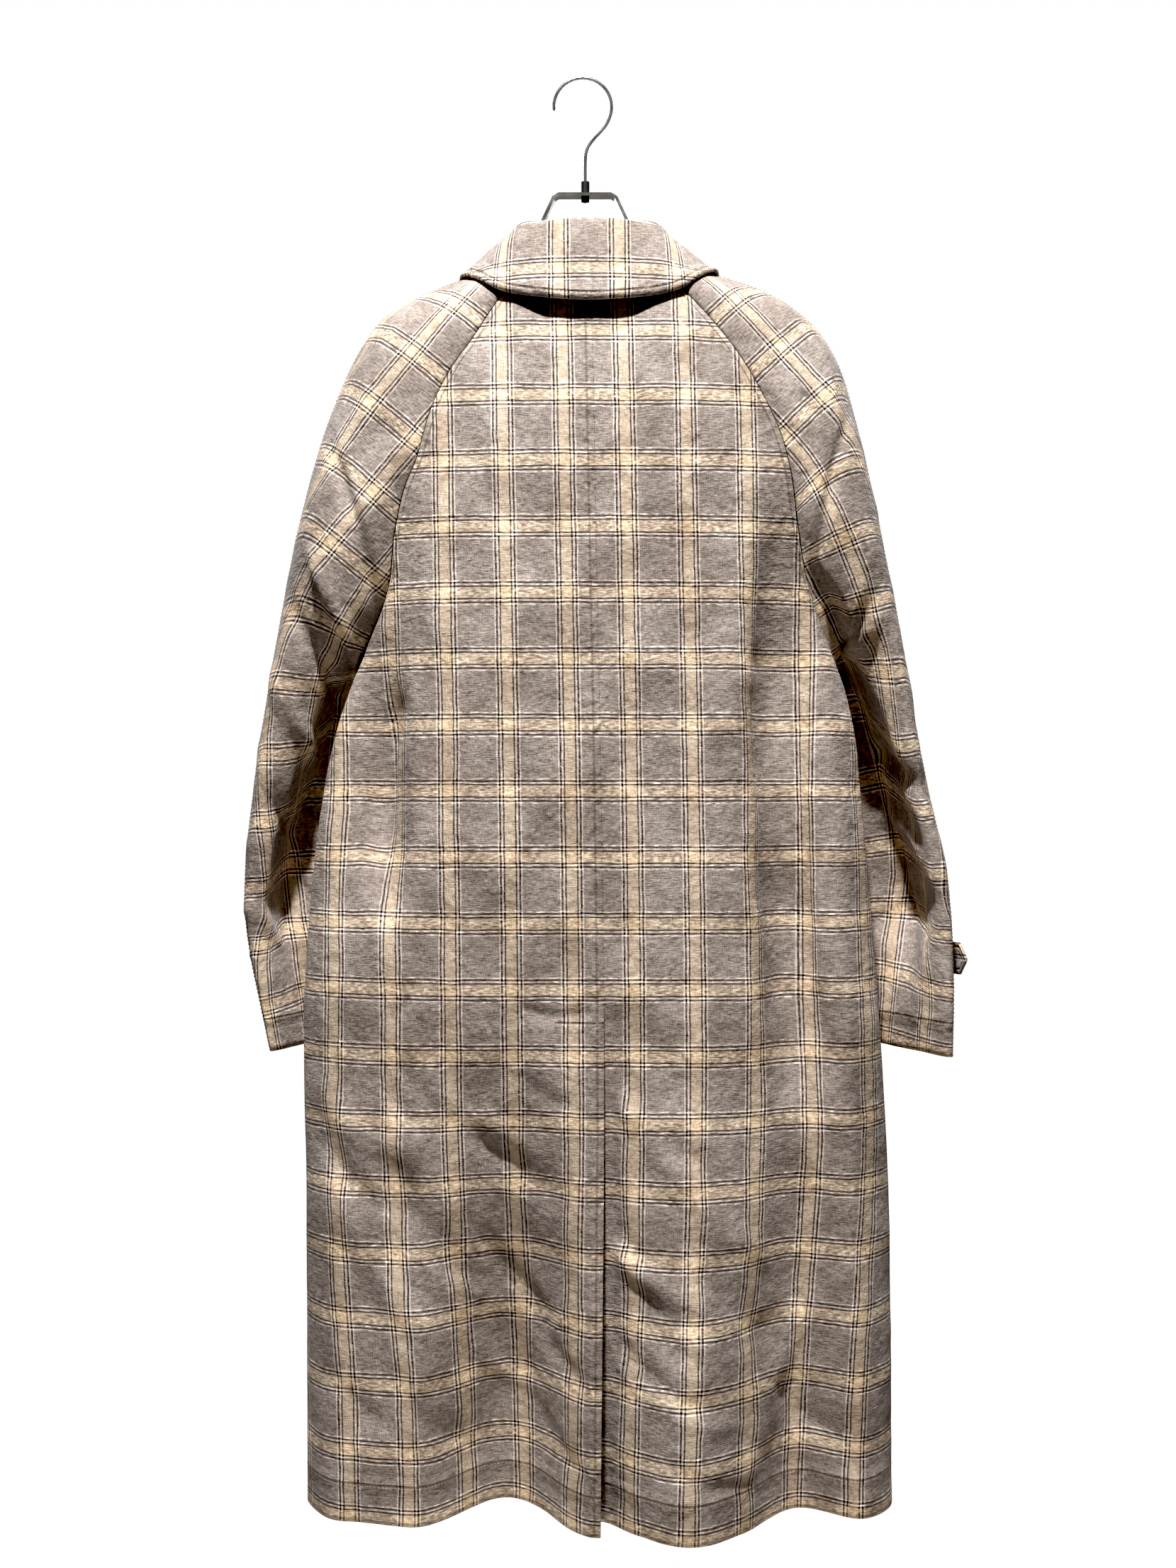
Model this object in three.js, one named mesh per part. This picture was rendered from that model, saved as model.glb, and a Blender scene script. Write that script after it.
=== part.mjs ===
// Reversible raglan coat hanging on a metal strip hanger.
// Millimetres, +Z up. The coat's front faces -Y and its own left side is +X.
// The origin is the inside of the hook's top, where the hook lies on a rail.
import * as THREE from 'three';

const WALL = 2.2;
const SEAM_GAP = 0.4;
const LAYER_GAP = 0.5;
const COLUMNS = 14;
const EVEN_SPACING = 0.4;
const SLEEVE_COLUMNS = 7;
const SLEEVE_SPLIT = 11;
const ROUNDNESS = 3.4;
const EDGE_TIE = 0.001;
const SAME_POINT = 0.02;
const FRONT_DROP_SHARE = 0.4;
const NEAR_OUTER = 0.06;
const FOLD_HOLD = 6;

// Heights of the body, measured from the rail
const UNDERARM_Z = -530;
const VENT_TOP_Z = -857;
const HEM_Z = -1300;
const ROWS_TO_VENT = 10;
const ROWS_TO_HEM = 12;

// Centre back line and centre front line
const CENTRE_LINE = [
  { z: -170, x: -5 },
  { z: -300, x: -8 },
  { z: -857, x: -17 },
  { z: -1300, x: -14 },
];

// Raglan seams of the back and front, from the neck down to the underarm, a row for each body row
const RAGLAN = [
  { leftX: 57, rightX: -64, leftZ: -186, rightZ: -184, y: 41,
    back: 48, front: -64, frontX: 50, drop: 22, bend: 1 },
  { leftX: 79, rightX: -92, leftZ: -215, rightZ: -208, y: 45,
    back: 53, front: -66, frontX: 75, drop: 16, bend: 1 },
  { leftX: 100, rightX: -118, leftZ: -248, rightZ: -237, y: 49,
    back: 58, front: -68, frontX: 98, drop: 10, bend: 1 },
  { leftX: 120, rightX: -140, leftZ: -277, rightZ: -267, y: 52,
    back: 62, front: -68, frontX: 119, drop: 5, bend: 1 },
  { leftX: 137, rightX: -159, leftZ: -312, rightZ: -300, y: 53,
    back: 65, front: -68, frontX: 137, drop: 2, bend: 0.95 },
  { leftX: 150, rightX: -175, leftZ: -356, rightZ: -335, y: 52,
    back: 67, front: -67, frontX: 150, drop: 0, bend: 0.9 },
  { leftX: 162, rightX: -185, leftZ: -385, rightZ: -372, y: 48,
    back: 68, front: -66, frontX: 162, drop: 0, bend: 0.8 },
  { leftX: 171, rightX: -191, leftZ: -424, rightZ: -414, y: 41,
    back: 68, front: -66, frontX: 170, drop: 0, bend: 0.7 },
  { leftX: 178, rightX: -202, leftZ: -472, rightZ: -468, y: 27,
    back: 68, front: -66, frontX: 178, drop: 0, bend: 0.6 },
  { leftX: 203, rightX: -227, leftZ: -530, rightZ: -530, y: 0,
    back: 68, front: -66, frontX: 203, drop: 0, bend: 0.5 },
];
// Heights of the upper rows at the centre back and the centre front
const UPPER_CENTRES = [
  { back: -180, front: -240 },
  { back: -210, front: -262 },
  { back: -242, front: -285 },
  { back: -272, front: -308 },
  { back: -306, front: -335 },
  { back: -346, front: -365 },
  { back: -379, front: -398 },
  { back: -419, front: -436 },
  { back: -469, front: -480 },
  { back: -530, front: -530 },
];

// Side seams and depths below the underarm
const SECTIONS = [
  { z: -530, left: 203, right: -227, back: 68, front: -66 },
  { z: -560, left: 215, right: -238, back: 68, front: -66 },
  { z: -600, left: 228, right: -247, back: 68, front: -67 },
  { z: -646, left: 238, right: -252, back: 69, front: -68 },
  { z: -740, left: 250, right: -260, back: 71, front: -71 },
  { z: -850, left: 257, right: -269, back: 74, front: -74 },
  { z: -1020, left: 255, right: -278, back: 78, front: -78 },
  { z: -1300, left: 254, right: -281, back: 82, front: -82 },
];

// Folds: x at the top, lean (mm sideways per mm down), half width and depth, faded in from start to
// full and out from fade to end. A negative depth is a trough.
const FOLDS = {
  back_left: [
    { x: 71, lean: 0, width: 84, depth: -80, start: -800, full: -1300, fade: -1400, end: -1500 },
    { x: -6, lean: 0, width: 55, depth: 16, start: -800, full: -1300, fade: -1400, end: -1500 },
    { x: 222, lean: 0.02, width: 34, depth: 16, start: -800, full: -1300, fade: -1400, end: -1500 },
    { x: 192, lean: -0.02, width: 42, depth: -26, start: -480, full: -560, fade: -640, end: -820 },
    { x: 60, lean: 0.1, width: 60, depth: 5, start: -400, full: -650, fade: -700, end: -1000 },
  ],
  back_right: [
    { x: -90, lean: 0, width: 72, depth: 38, start: -800, full: -1300, fade: -1400, end: -1500 },
    { x: -182, lean: -0.02, width: 58, depth: -50, start: -700, full: -1300, fade: -1400, end: -1500 },
    { x: -172, lean: -0.03, width: 50, depth: -18, start: -420, full: -560, fade: -900, end: -1300 },
    { x: -224, lean: -0.05, width: 34, depth: 12, start: -540, full: -700, fade: -1400, end: -1500 },
  ],
  front_left: [
    { x: 120, lean: 0.02, width: 70, depth: -34, start: -700, full: -1300, fade: -1400, end: -1500 },
    { x: 210, lean: -0.02, width: 50, depth: -22, start: -480, full: -570, fade: -620, end: -900 },
    { x: 62, lean: 0.02, width: 44, depth: 12, start: -800, full: -1300, fade: -1400, end: -1500 },
  ],
  front_right: [
    { x: -170, lean: -0.02, width: 66, depth: -36, start: -700, full: -1300, fade: -1400, end: -1500 },
    { x: -225, lean: 0.02, width: 46, depth: -22, start: -480, full: -570, fade: -620, end: -900 },
    { x: -128, lean: 0, width: 50, depth: 10, start: -800, full: -1300, fade: -1400, end: -1500 },
  ],
};

// Vent and front closing
const VENT_WIDTH = 44;
const VENT_OPEN_TOP = 3;
const VENT_OPEN_HEM = 22;
const VENT_FADE = 32;
const VENT_SEAM_FADE = 20;
const VENT_COLUMNS = 3;
const FRONT_LAP = 30;
const FRONT_FADE = 45;

// Sleeves: the overarm line (out) and underarm line (in), a row for each station, and how far the back
// and front halves swell at either line. The first ten stations end on the raglan seams.
const SLEEVES = {
  left: [
    { outX: 72, outY: 0, outZ: -176,
      backOut: 24, backIn: 6, frontOut: 26, frontIn: 6, tuck: 0.3 },
    { outX: 100, outY: 0, outZ: -181,
      backOut: 30, backIn: 6, frontOut: 32, frontIn: 8, tuck: 0.3 },
    { outX: 130, outY: 0, outZ: -191,
      backOut: 36, backIn: 7, frontOut: 38, frontIn: 10, tuck: 0.3 },
    { outX: 158, outY: 0, outZ: -204,
      backOut: 42, backIn: 9, frontOut: 44, frontIn: 13, tuck: 0.3 },
    { outX: 184, outY: 0, outZ: -220,
      backOut: 46, backIn: 11, frontOut: 50, frontIn: 17, tuck: 0.3 },
    { outX: 203, outY: -1, outZ: -244,
      backOut: 50, backIn: 14, frontOut: 58, frontIn: 23, tuck: 0.3 },
    { outX: 218, outY: -2, outZ: -272,
      backOut: 54, backIn: 20, frontOut: 66, frontIn: 32, tuck: 0.3 },
    { outX: 233, outY: -4, outZ: -308,
      backOut: 58, backIn: 30, frontOut: 74, frontIn: 46, tuck: 0.3 },
    { outX: 248, outY: -6, outZ: -352,
      backOut: 64, backIn: 48, frontOut: 82, frontIn: 66, tuck: 0.3 },
    { outX: 263, outY: -8, outZ: -408,
      backOut: 70, backIn: 66, frontOut: 90, frontIn: 76, tuck: 0.2 },
    { outX: 272, outY: -9, outZ: -452, inX: 222, inY: -10, inZ: -556,
      backOut: 72, backIn: 50, frontOut: 98, frontIn: 84, tuck: 0.15 },
    { outX: 281, outY: -10, outZ: -499, inX: 230, inY: -20, inZ: -588,
      backOut: 74, backIn: 40, frontOut: 106, frontIn: 78, tuck: 0.25 },
    { outX: 290, outY: -11, outZ: -550, inX: 236, inY: -30, inZ: -626,
      backOut: 74, backIn: 34, frontOut: 112, frontIn: 74, tuck: 0.32 },
    { outX: 299, outY: -12, outZ: -606, inX: 241, inY: -38, inZ: -664,
      backOut: 74, backIn: 30, frontOut: 114, frontIn: 72, tuck: 0.38 },
    { outX: 307, outY: -13, outZ: -660, inX: 244, inY: -46, inZ: -702,
      backOut: 72, backIn: 28, frontOut: 112, frontIn: 70, tuck: 0.42 },
    { outX: 313, outY: -14, outZ: -710, inX: 246, inY: -52, inZ: -742,
      backOut: 68, backIn: 26, frontOut: 108, frontIn: 66, tuck: 0.44 },
    { outX: 315, outY: -14, outZ: -757, inX: 247, inY: -58, inZ: -783,
      backOut: 62, backIn: 24, frontOut: 102, frontIn: 60, tuck: 0.46 },
    { outX: 310, outY: -13, outZ: -803, inX: 247, inY: -62, inZ: -820,
      backOut: 56, backIn: 22, frontOut: 104, frontIn: 72, tuck: 0.46 },
    { outX: 301, outY: -12, outZ: -849, inX: 246, inY: -68, inZ: -856,
      backOut: 52, backIn: 18, frontOut: 100, frontIn: 72, tuck: 0.46 },
    { outX: 292, outY: -12, outZ: -893, inX: 244, inY: -72, inZ: -889,
      backOut: 48, backIn: 16, frontOut: 96, frontIn: 70, tuck: 0.46 },
  ],
  right: [
    { outX: -80, outY: 0, outZ: -174,
      backOut: 24, backIn: 6, frontOut: 26, frontIn: 6, tuck: 0.3 },
    { outX: -112, outY: 0, outZ: -179,
      backOut: 30, backIn: 6, frontOut: 32, frontIn: 8, tuck: 0.3 },
    { outX: -146, outY: 0, outZ: -188,
      backOut: 36, backIn: 7, frontOut: 38, frontIn: 10, tuck: 0.3 },
    { outX: -174, outY: 0, outZ: -200,
      backOut: 42, backIn: 9, frontOut: 44, frontIn: 13, tuck: 0.3 },
    { outX: -198, outY: 0, outZ: -216,
      backOut: 46, backIn: 11, frontOut: 50, frontIn: 17, tuck: 0.3 },
    { outX: -217, outY: 0, outZ: -236,
      backOut: 50, backIn: 14, frontOut: 58, frontIn: 23, tuck: 0.3 },
    { outX: -232, outY: 0, outZ: -262,
      backOut: 54, backIn: 20, frontOut: 66, frontIn: 32, tuck: 0.3 },
    { outX: -244, outY: 0, outZ: -298,
      backOut: 58, backIn: 30, frontOut: 74, frontIn: 46, tuck: 0.3 },
    { outX: -256, outY: 0, outZ: -345,
      backOut: 64, backIn: 44, frontOut: 80, frontIn: 56, tuck: 0.3 },
    { outX: -268, outY: 1, outZ: -403,
      backOut: 72, backIn: 56, frontOut: 90, frontIn: 70, tuck: 0.2 },
    { outX: -277, outY: 2, outZ: -447, inX: -243, inY: -12, inZ: -556,
      backOut: 76, backIn: 40, frontOut: 94, frontIn: 80, tuck: 0.2 },
    { outX: -286, outY: 3, outZ: -494, inX: -250, inY: -24, inZ: -588,
      backOut: 78, backIn: 34, frontOut: 98, frontIn: 74, tuck: 0.3 },
    { outX: -294, outY: 4, outZ: -546, inX: -254, inY: -34, inZ: -626,
      backOut: 78, backIn: 30, frontOut: 102, frontIn: 70, tuck: 0.36 },
    { outX: -303, outY: 6, outZ: -600, inX: -257, inY: -42, inZ: -664,
      backOut: 76, backIn: 28, frontOut: 104, frontIn: 66, tuck: 0.4 },
    { outX: -314, outY: 9, outZ: -654, inX: -259, inY: -48, inZ: -702,
      backOut: 72, backIn: 26, frontOut: 104, frontIn: 62, tuck: 0.42 },
    { outX: -325, outY: 12, outZ: -706, inX: -260, inY: -54, inZ: -742,
      backOut: 66, backIn: 26, frontOut: 102, frontIn: 56, tuck: 0.44 },
    { outX: -332, outY: 16, outZ: -754, inX: -260, inY: -58, inZ: -782,
      backOut: 60, backIn: 26, frontOut: 98, frontIn: 50, tuck: 0.44 },
    { outX: -335, outY: 20, outZ: -802, inX: -260, inY: -62, inZ: -820,
      backOut: 57, backIn: 24, frontOut: 106, frontIn: 66, tuck: 0.42 },
    { outX: -335, outY: 24, outZ: -849, inX: -259, inY: -68, inZ: -856,
      backOut: 56, backIn: 20, frontOut: 106, frontIn: 66, tuck: 0.42 },
    { outX: -334, outY: 27, outZ: -893, inX: -257, inY: -72, inZ: -889,
      backOut: 56, backIn: 18, frontOut: 104, frontIn: 64, tuck: 0.42 },
  ],
};

// Collar: fold line and free edge at fractions of the neckline from centre back to centre front.
// X is measured out from the coat's middle.
const COLLAR_MIDDLE_X = -4;
const COLLAR_LIFT = 0.8;
const COLLAR_TURN = 3.6;
const COLLAR_CLEARANCE = 4.6;
const COLLAR_STATIONS = 12;
const COLLAR_REACH = 0.93;
const COLLAR_STAND = [0, 0.35, 0.7];
const COLLAR_TURN_ANGLES = [160, 120, 80, 40];
const COLLAR_FALL = [0.25, 0.5, 0.75, 1];
const COLLAR_SWELL = 3;
const COLLAR = [
  { at: 0, foldX: 0, foldY: 47, foldZ: -143, edgeX: 0, edgeY: 68, edgeZ: -218 },
  { at: 0.15, foldX: 29, foldY: 46, foldZ: -143, edgeX: 46, edgeY: 65, edgeZ: -214 },
  { at: 0.3, foldX: 54, foldY: 35, foldZ: -144, edgeX: 84, edgeY: 50, edgeZ: -204 },
  { at: 0.45, foldX: 69, foldY: 10, foldZ: -149, edgeX: 114, edgeY: 14, edgeZ: -183 },
  { at: 0.6, foldX: 69, foldY: -17, foldZ: -160, edgeX: 116, edgeY: -26, edgeZ: -196 },
  { at: 0.8, foldX: 48, foldY: -46, foldZ: -184, edgeX: 92, edgeY: -66, edgeZ: -240 },
  { at: 1, foldX: 6, foldY: -66, foldZ: -212, edgeX: 48, edgeY: -80, edgeZ: -286 },
];

// Cuff tabs and buttons
const TAB = { z: -807, height: 29, length: 0.78, steps: 8, point: 12, thick: 2, gap: 0.9, button: 3 };
const TAB_START = { left: 0.07, right: 0 };
const TAB_REACH = { left: 0, right: 10 };
const BUTTON = { radius: 11, thick: 3.6, sides: 24 };
const CUFF_BUTTON = { radius: 8.5, thick: 3.2, sides: 20 };
const FRONT_BUTTONS_Z = [-315, -430, -545, -660, -775];

// Hanger
const WIRE = 1.45;
const HOOK_BEND = 26.5;
const HOOK_CENTRE_X = 2;
const HOOK_TURN = { start: -8, end: 200, step: 16 };
const HOOK_STEPS = 44;
const STEM_X = -0.4;
const HOOK_NECK = [
  { x: -18.5, z: -43 },
  { x: -5.2, z: -58.4 },
  { x: -1.2, z: -67 },
  { x: -0.4, z: -80 },
];
const STRIP_THICK = 3;
const STRIP_DEPTH = 12;
const STRIP_TOP_Z = -105.2;
const FERRULE = { radius: 3.8, top: -94.2, sides: 20 };
const NUT = { radius: 4.2, height: 3.6, sides: 6 };
const STRIP_LEG = [
  { x: 24, z: -106.7 },
  { x: 28.5, z: -109.5 },
  { x: 38, z: -130 },
  { x: 49, z: -166 },
];
const STRIP_ARMS = {
  left: [{ x: 58, z: -182 }, { x: 76, z: -183.5 }, { x: 100, z: -187.6 }, { x: 130, z: -197.8 },
    { x: 157, z: -211.2 }, { x: 174, z: -222 }],
  right: [{ x: -63, z: -180 }, { x: -84, z: -181.8 }, { x: -112, z: -186 }, { x: -146, z: -195.2 },
    { x: -173, z: -207.6 }, { x: -190, z: -219 }],
};

const CLOTH = { color: 0x8a8076, roughness: 0.9, metalness: 0 };
const HORN = { color: 0x3a2a20, roughness: 0.45, metalness: 0 };
const CHROME = { color: 0xc8c8c8, roughness: 0.2, metalness: 1 };
const BLACK_STEEL = { color: 0x222222, roughness: 0.5, metalness: 0.6 };

const coat = new THREE.Group();

function smooth(value) {
  const t = Math.min(1, Math.max(0, value));
  return t * t * (3 - 2 * t);
}

// Value of a column where another column has the wanted value, on a smooth curve through the rows
function read(rows, key, wanted, column) {
  const rising = rows[rows.length - 1][key] > rows[0][key];
  const place = rows.findIndex((row) => (rising ? row[key] >= wanted : row[key] <= wanted));
  const high = place === -1 ? rows.length - 1 : Math.max(place, 1);
  const before = rows[Math.max(high - 2, 0)];
  const a = rows[high - 1];
  const b = rows[high];
  const after = rows[Math.min(high + 1, rows.length - 1)];
  const span = b[key] - a[key];
  const t = Math.min(1, Math.max(0, (wanted - a[key]) / span));
  const slopeA = (b[column] - before[column]) / (b[key] - before[key]) * span;
  const slopeB = (after[column] - a[column]) / (after[key] - a[key]) * span;
  const t2 = t * t;
  const t3 = t2 * t;
  return (2 * t3 - 3 * t2 + 1) * a[column] + (t3 - 2 * t2 + t) * slopeA
    + (3 * t2 - 2 * t3) * b[column] + (t3 - t2) * slopeB;
}

function addMesh(name, geometry, finish) {
  const mesh = new THREE.Mesh(geometry, new THREE.MeshStandardMaterial(finish));
  mesh.name = name;
  coat.add(mesh);
  return mesh;
}

// Rows of the body: the upper ones end on the raglan seam, the lower ones on the side seam
function bodyRow(index, side, face) {
  if (index < RAGLAN.length) {
    const row = RAGLAN[index];
    const left = side === 'left';
    const back = face === 'back';
    const seamX = left ? row.leftX : row.rightX;
    const frontX = left ? row.frontX : row.rightX + row.leftX - row.frontX;
    const seamZ = left ? row.leftZ : row.rightZ;
    return {
      centreZ: UPPER_CENTRES[index][face],
      sideX: back ? seamX : frontX,
      sideY: back ? row.y : -row.y - row.drop * FRONT_DROP_SHARE,
      sideZ: back ? seamZ : seamZ - row.drop,
      depth: row[face],
      bend: row.bend,
    };
  }
  const lower = index - RAGLAN.length + 1;
  const z = lower <= ROWS_TO_VENT
    ? UNDERARM_Z + (VENT_TOP_Z - UNDERARM_Z) * lower / ROWS_TO_VENT
    : VENT_TOP_Z + (HEM_Z - VENT_TOP_Z) * (lower - ROWS_TO_VENT) / ROWS_TO_HEM;
  const sideX = read(SECTIONS, 'z', z, side);
  return { centreZ: z, sideX, sideY: 0, sideZ: z, depth: read(SECTIONS, 'z', z, face), bend: 0.5 };
}

function foldDepth(panel, x, z) {
  let sum = 0;
  for (const fold of FOLDS[panel]) {
    const off = (x - fold.x - fold.lean * (fold.start - z)) / fold.width;
    const shape = Math.abs(off) < 1 ? (1 + Math.cos(Math.PI * off)) / 2 : 0;
    const grow = smooth((fold.start - z) / (fold.start - fold.full));
    const fade = 1 - smooth((fold.fade - z) / (fold.fade - fold.end));
    sum += fold.depth * shape * grow * fade;
  }
  return sum;
}

function ventOpening(z) {
  const fade = smooth((VENT_TOP_Z + VENT_SEAM_FADE - z) / VENT_SEAM_FADE);
  const down = Math.max(0, (VENT_TOP_Z - z) / (VENT_TOP_Z - HEM_Z));
  return fade * (VENT_OPEN_TOP + (VENT_OPEN_HEM - VENT_OPEN_TOP) * down);
}

function bodyPoint(side, face, row, x) {
  const centre = read(CENTRE_LINE, 'z', row.centreZ, 'x');
  const share = Math.min(1, Math.abs(x - centre) / Math.abs(row.sideX - centre));
  const z = row.centreZ + (row.sideZ - row.centreZ) * share ** 2;
  const outward = face === 'back' ? 1 : -1;
  const curve = Math.max(0, 1 - share ** ROUNDNESS) ** row.bend;
  const fold = foldDepth(`${face}_${side}`, x, z) * (1 - share ** FOLD_HOLD);
  let y = row.sideY + (row.depth - row.sideY) * curve + outward * fold;
  if (face === 'back' && side === 'right') {
    y -= ventOpening(z) * (1 - smooth(Math.abs(x - centre) / VENT_FADE));
  }
  if (face === 'front' && side === 'right') {
    const past = Math.max(0, centre - FRONT_LAP - x) / FRONT_FADE;
    y += (WALL + LAYER_GAP) * (1 - smooth(past));
  }
  return new THREE.Vector3(x, y, z);
}

const UNDERARM_ROW = RAGLAN.length - 1;
const BODY_ROWS = RAGLAN.length + ROWS_TO_VENT + ROWS_TO_HEM;

function bodyGrid(side, face) {
  const lap = face === 'front' ? FRONT_LAP : 0;
  const grid = [];
  for (let index = 0; index < BODY_ROWS; index += 1) {
    const row = bodyRow(index, side, face);
    const toward = side === 'left' ? -lap : lap;
    const startX = read(CENTRE_LINE, 'z', row.centreZ, 'x') + toward;
    const points = [];
    for (let column = 0; column <= COLUMNS; column += 1) {
      const even = column / COLUMNS;
      const share = EVEN_SPACING * even + (1 - EVEN_SPACING) * Math.sin(even * Math.PI / 2);
      points.push(bodyPoint(side, face, row, startX + (row.sideX - startX) * share));
    }
    grid.push(points);
  }
  return grid;
}

function sleeveSection(side, face, index, share) {
  const station = SLEEVES[side][index];
  const outward = face === 'back' ? 1 : -1;
  const outer = new THREE.Vector3(station.outX, station.outY, station.outZ);
  const seam = bodyRow(index, side, face);
  const inner = index < RAGLAN.length
    ? new THREE.Vector3(seam.sideX, seam.sideY, seam.sideZ)
    : new THREE.Vector3(station.inX, station.inY, station.inZ);
  const nearOuter = outer.clone().lerp(inner, NEAR_OUTER);
  nearOuter.y = outer.y + outward * station[`${face}Out`];
  const nearInner = inner.clone().lerp(outer, station.tuck);
  nearInner.y = inner.y + outward * station[`${face}In`];
  return new THREE.CubicBezierCurve3(outer, nearOuter, nearInner, inner).getPoint(share);
}

function sleeveGrid(side, face) {
  return SLEEVES[side].map((station, index) => {
    const points = [];
    for (let column = 0; column <= SLEEVE_COLUMNS; column += 1) {
      points.push(sleeveSection(side, face, index, column / SLEEVE_COLUMNS));
    }
    return points;
  });
}

function ventGrid() {
  const grid = [];
  for (let index = RAGLAN.length + ROWS_TO_VENT - 1; index < BODY_ROWS; index += 1) {
    const row = bodyRow(index, 'left', 'back');
    const startX = read(CENTRE_LINE, 'z', row.centreZ, 'x');
    const points = [];
    for (let column = 0; column <= VENT_COLUMNS; column += 1) {
      const point = bodyPoint('left', 'back', row, startX + VENT_WIDTH * column / VENT_COLUMNS);
      point.y -= ventOpening(point.z);
      points.push(point);
    }
    grid.push(points);
  }
  return grid;
}

// Normals of a grid of points, pointing away from the cloth's inside
function gridNormals(grid, away) {
  return grid.map((points, i) => points.map((point, j) => {
    const down = grid[Math.min(i + 1, grid.length - 1)][j].clone().sub(grid[Math.max(i - 1, 0)][j]);
    const along = points[Math.min(j + 1, points.length - 1)].clone().sub(points[Math.max(j - 1, 0)]);
    return down.cross(along).normalize().multiplyScalar(away);
  }));
}

// Points that two panels share get one common normal, so that their walls meet without crossing
function shareNormals(panels) {
  const sums = new Map();
  const name = (point) => point.toArray().map((value) => Math.round(value / SAME_POINT)).join();
  const each = (visit) => panels.forEach((panel) => panel.grid.forEach((points, i) => {
    points.forEach((point, j) => visit(name(point), panel.normals[i][j]));
  }));
  each((key, normal) => sums.set(key, (sums.get(key) || new THREE.Vector3()).add(normal)));
  each((key, normal) => normal.copy(sums.get(key)).normalize());
}

function pulledIn(grid, inset) {
  const lastRow = grid.length - 1;
  const lastColumn = grid[0].length - 1;
  return grid.map((points, i) => points.map((point, j) => {
    const moved = point.clone();
    const step = (other) => moved.add(other.clone().sub(point).setLength(inset));
    if (i === 0) step(grid[1][j]);
    if (i === lastRow) step(grid[lastRow - 1][j]);
    if (j === 0) step(points[2]);
    if (j === lastColumn && i !== UNDERARM_ROW) step(points[lastColumn - 2]);
    if (j === lastColumn && i === UNDERARM_ROW) {
      const toward = points[lastColumn - 2].clone().sub(point);
      moved.x += Math.sign(toward.x) * inset;
      moved.y += Math.sign(toward.y) * inset;
    }
    return moved;
  }));
}

// Closed wall between two grids of points
function wallGeometry(outer, inner) {
  const rows = outer.length;
  const columns = outer[0].length;
  const positions = [...outer.flat(), ...inner.flat()].flatMap((point) => point.toArray());
  const index = [];
  const at = (i, j, layer) => layer * rows * columns + i * columns + j;
  const quad = (a, b, c, d) => index.push(a, b, c, a, c, d);
  for (let i = 0; i < rows - 1; i += 1) {
    for (let j = 0; j < columns - 1; j += 1) {
      quad(at(i, j, 0), at(i + 1, j, 0), at(i + 1, j + 1, 0), at(i, j + 1, 0));
      quad(at(i, j, 1), at(i, j + 1, 1), at(i + 1, j + 1, 1), at(i + 1, j, 1));
    }
  }
  const ring = [];
  for (let i = 0; i < rows - 1; i += 1) ring.push([i, 0]);
  for (let j = 0; j < columns - 1; j += 1) ring.push([rows - 1, j]);
  for (let i = rows - 1; i > 0; i -= 1) ring.push([i, columns - 1]);
  for (let j = columns - 1; j > 0; j -= 1) ring.push([0, j]);
  // Neighbouring walls split their facing edges along the same diagonal, from the higher outer point
  const height = (i, j) => outer[i][j].z + outer[i][j].x * EDGE_TIE;
  ring.forEach(([i, j], step) => {
    const [k, l] = ring[(step + 1) % ring.length];
    const corners = [at(i, j, 0), at(i, j, 1), at(k, l, 1), at(k, l, 0)];
    if (height(i, j) < height(k, l)) corners.push(corners.shift());
    quad(...corners);
  });
  const geometry = new THREE.BufferGeometry();
  geometry.setAttribute('position', new THREE.Float32BufferAttribute(positions, 3));
  geometry.setIndex(index);
  return turnedOut(geometry);
}

// Flips the triangles of a closed geometry whose faces point inwards
function turnedOut(geometry) {
  const position = geometry.attributes.position;
  const index = geometry.index.array;
  const corner = [0, 1, 2].map(() => new THREE.Vector3());
  let volume = 0;
  for (let i = 0; i < index.length; i += 3) {
    corner.forEach((point, k) => point.fromBufferAttribute(position, index[i + k]));
    volume += corner[0].dot(corner[1].cross(corner[2]));
  }
  if (volume < 0) geometry.setIndex(Array.from(index).reverse());
  geometry.computeVertexNormals();
  return geometry;
}

function offsetGrid(grid, normals, distance) {
  const moved = (point, normal) => point.clone().addScaledVector(normal, distance);
  return grid.map((points, i) => points.map((point, j) => moved(point, normals[i][j])));
}

const panels = [];

function addPanel(name, grid, away) {
  panels.push({ name, grid, normals: gridNormals(grid, away) });
}

// A sleeve half is one piece of cloth. Its solid is parted above the elbow, so that each length
// bends little enough for close convex pieces.
function addSleevePanels(name, grid, away) {
  addPanel(name, grid.slice(0, SLEEVE_SPLIT + 1), away);
  addPanel(`${name}_lower`, grid.slice(SLEEVE_SPLIT), away);
}

for (const side of ['left', 'right']) {
  const turn = side === 'left' ? 1 : -1;
  addPanel(`back_${side}`, bodyGrid(side, 'back'), -turn);
  addPanel(`front_${side}`, bodyGrid(side, 'front'), turn);
  addSleevePanels(`sleeve_back_${side}`, sleeveGrid(side, 'back'), turn);
  addSleevePanels(`sleeve_front_${side}`, sleeveGrid(side, 'front'), -turn);
}
shareNormals(panels);
// Four panels meet in each armpit, where the open side is below
for (const panel of panels) {
  if (!panel.name.endsWith('_lower')) panel.normals[UNDERARM_ROW].at(-1).set(0, 0, -1);
}
addPanel('vent_underlap', ventGrid(), -1);
for (const panel of panels) {
  const grid = pulledIn(panel.grid, SEAM_GAP / 2);
  addMesh(panel.name, wallGeometry(grid, offsetGrid(grid, panel.normals, -WALL)), CLOTH);
}

const panelNamed = (name) => panels.find((panel) => panel.name === name);

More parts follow.
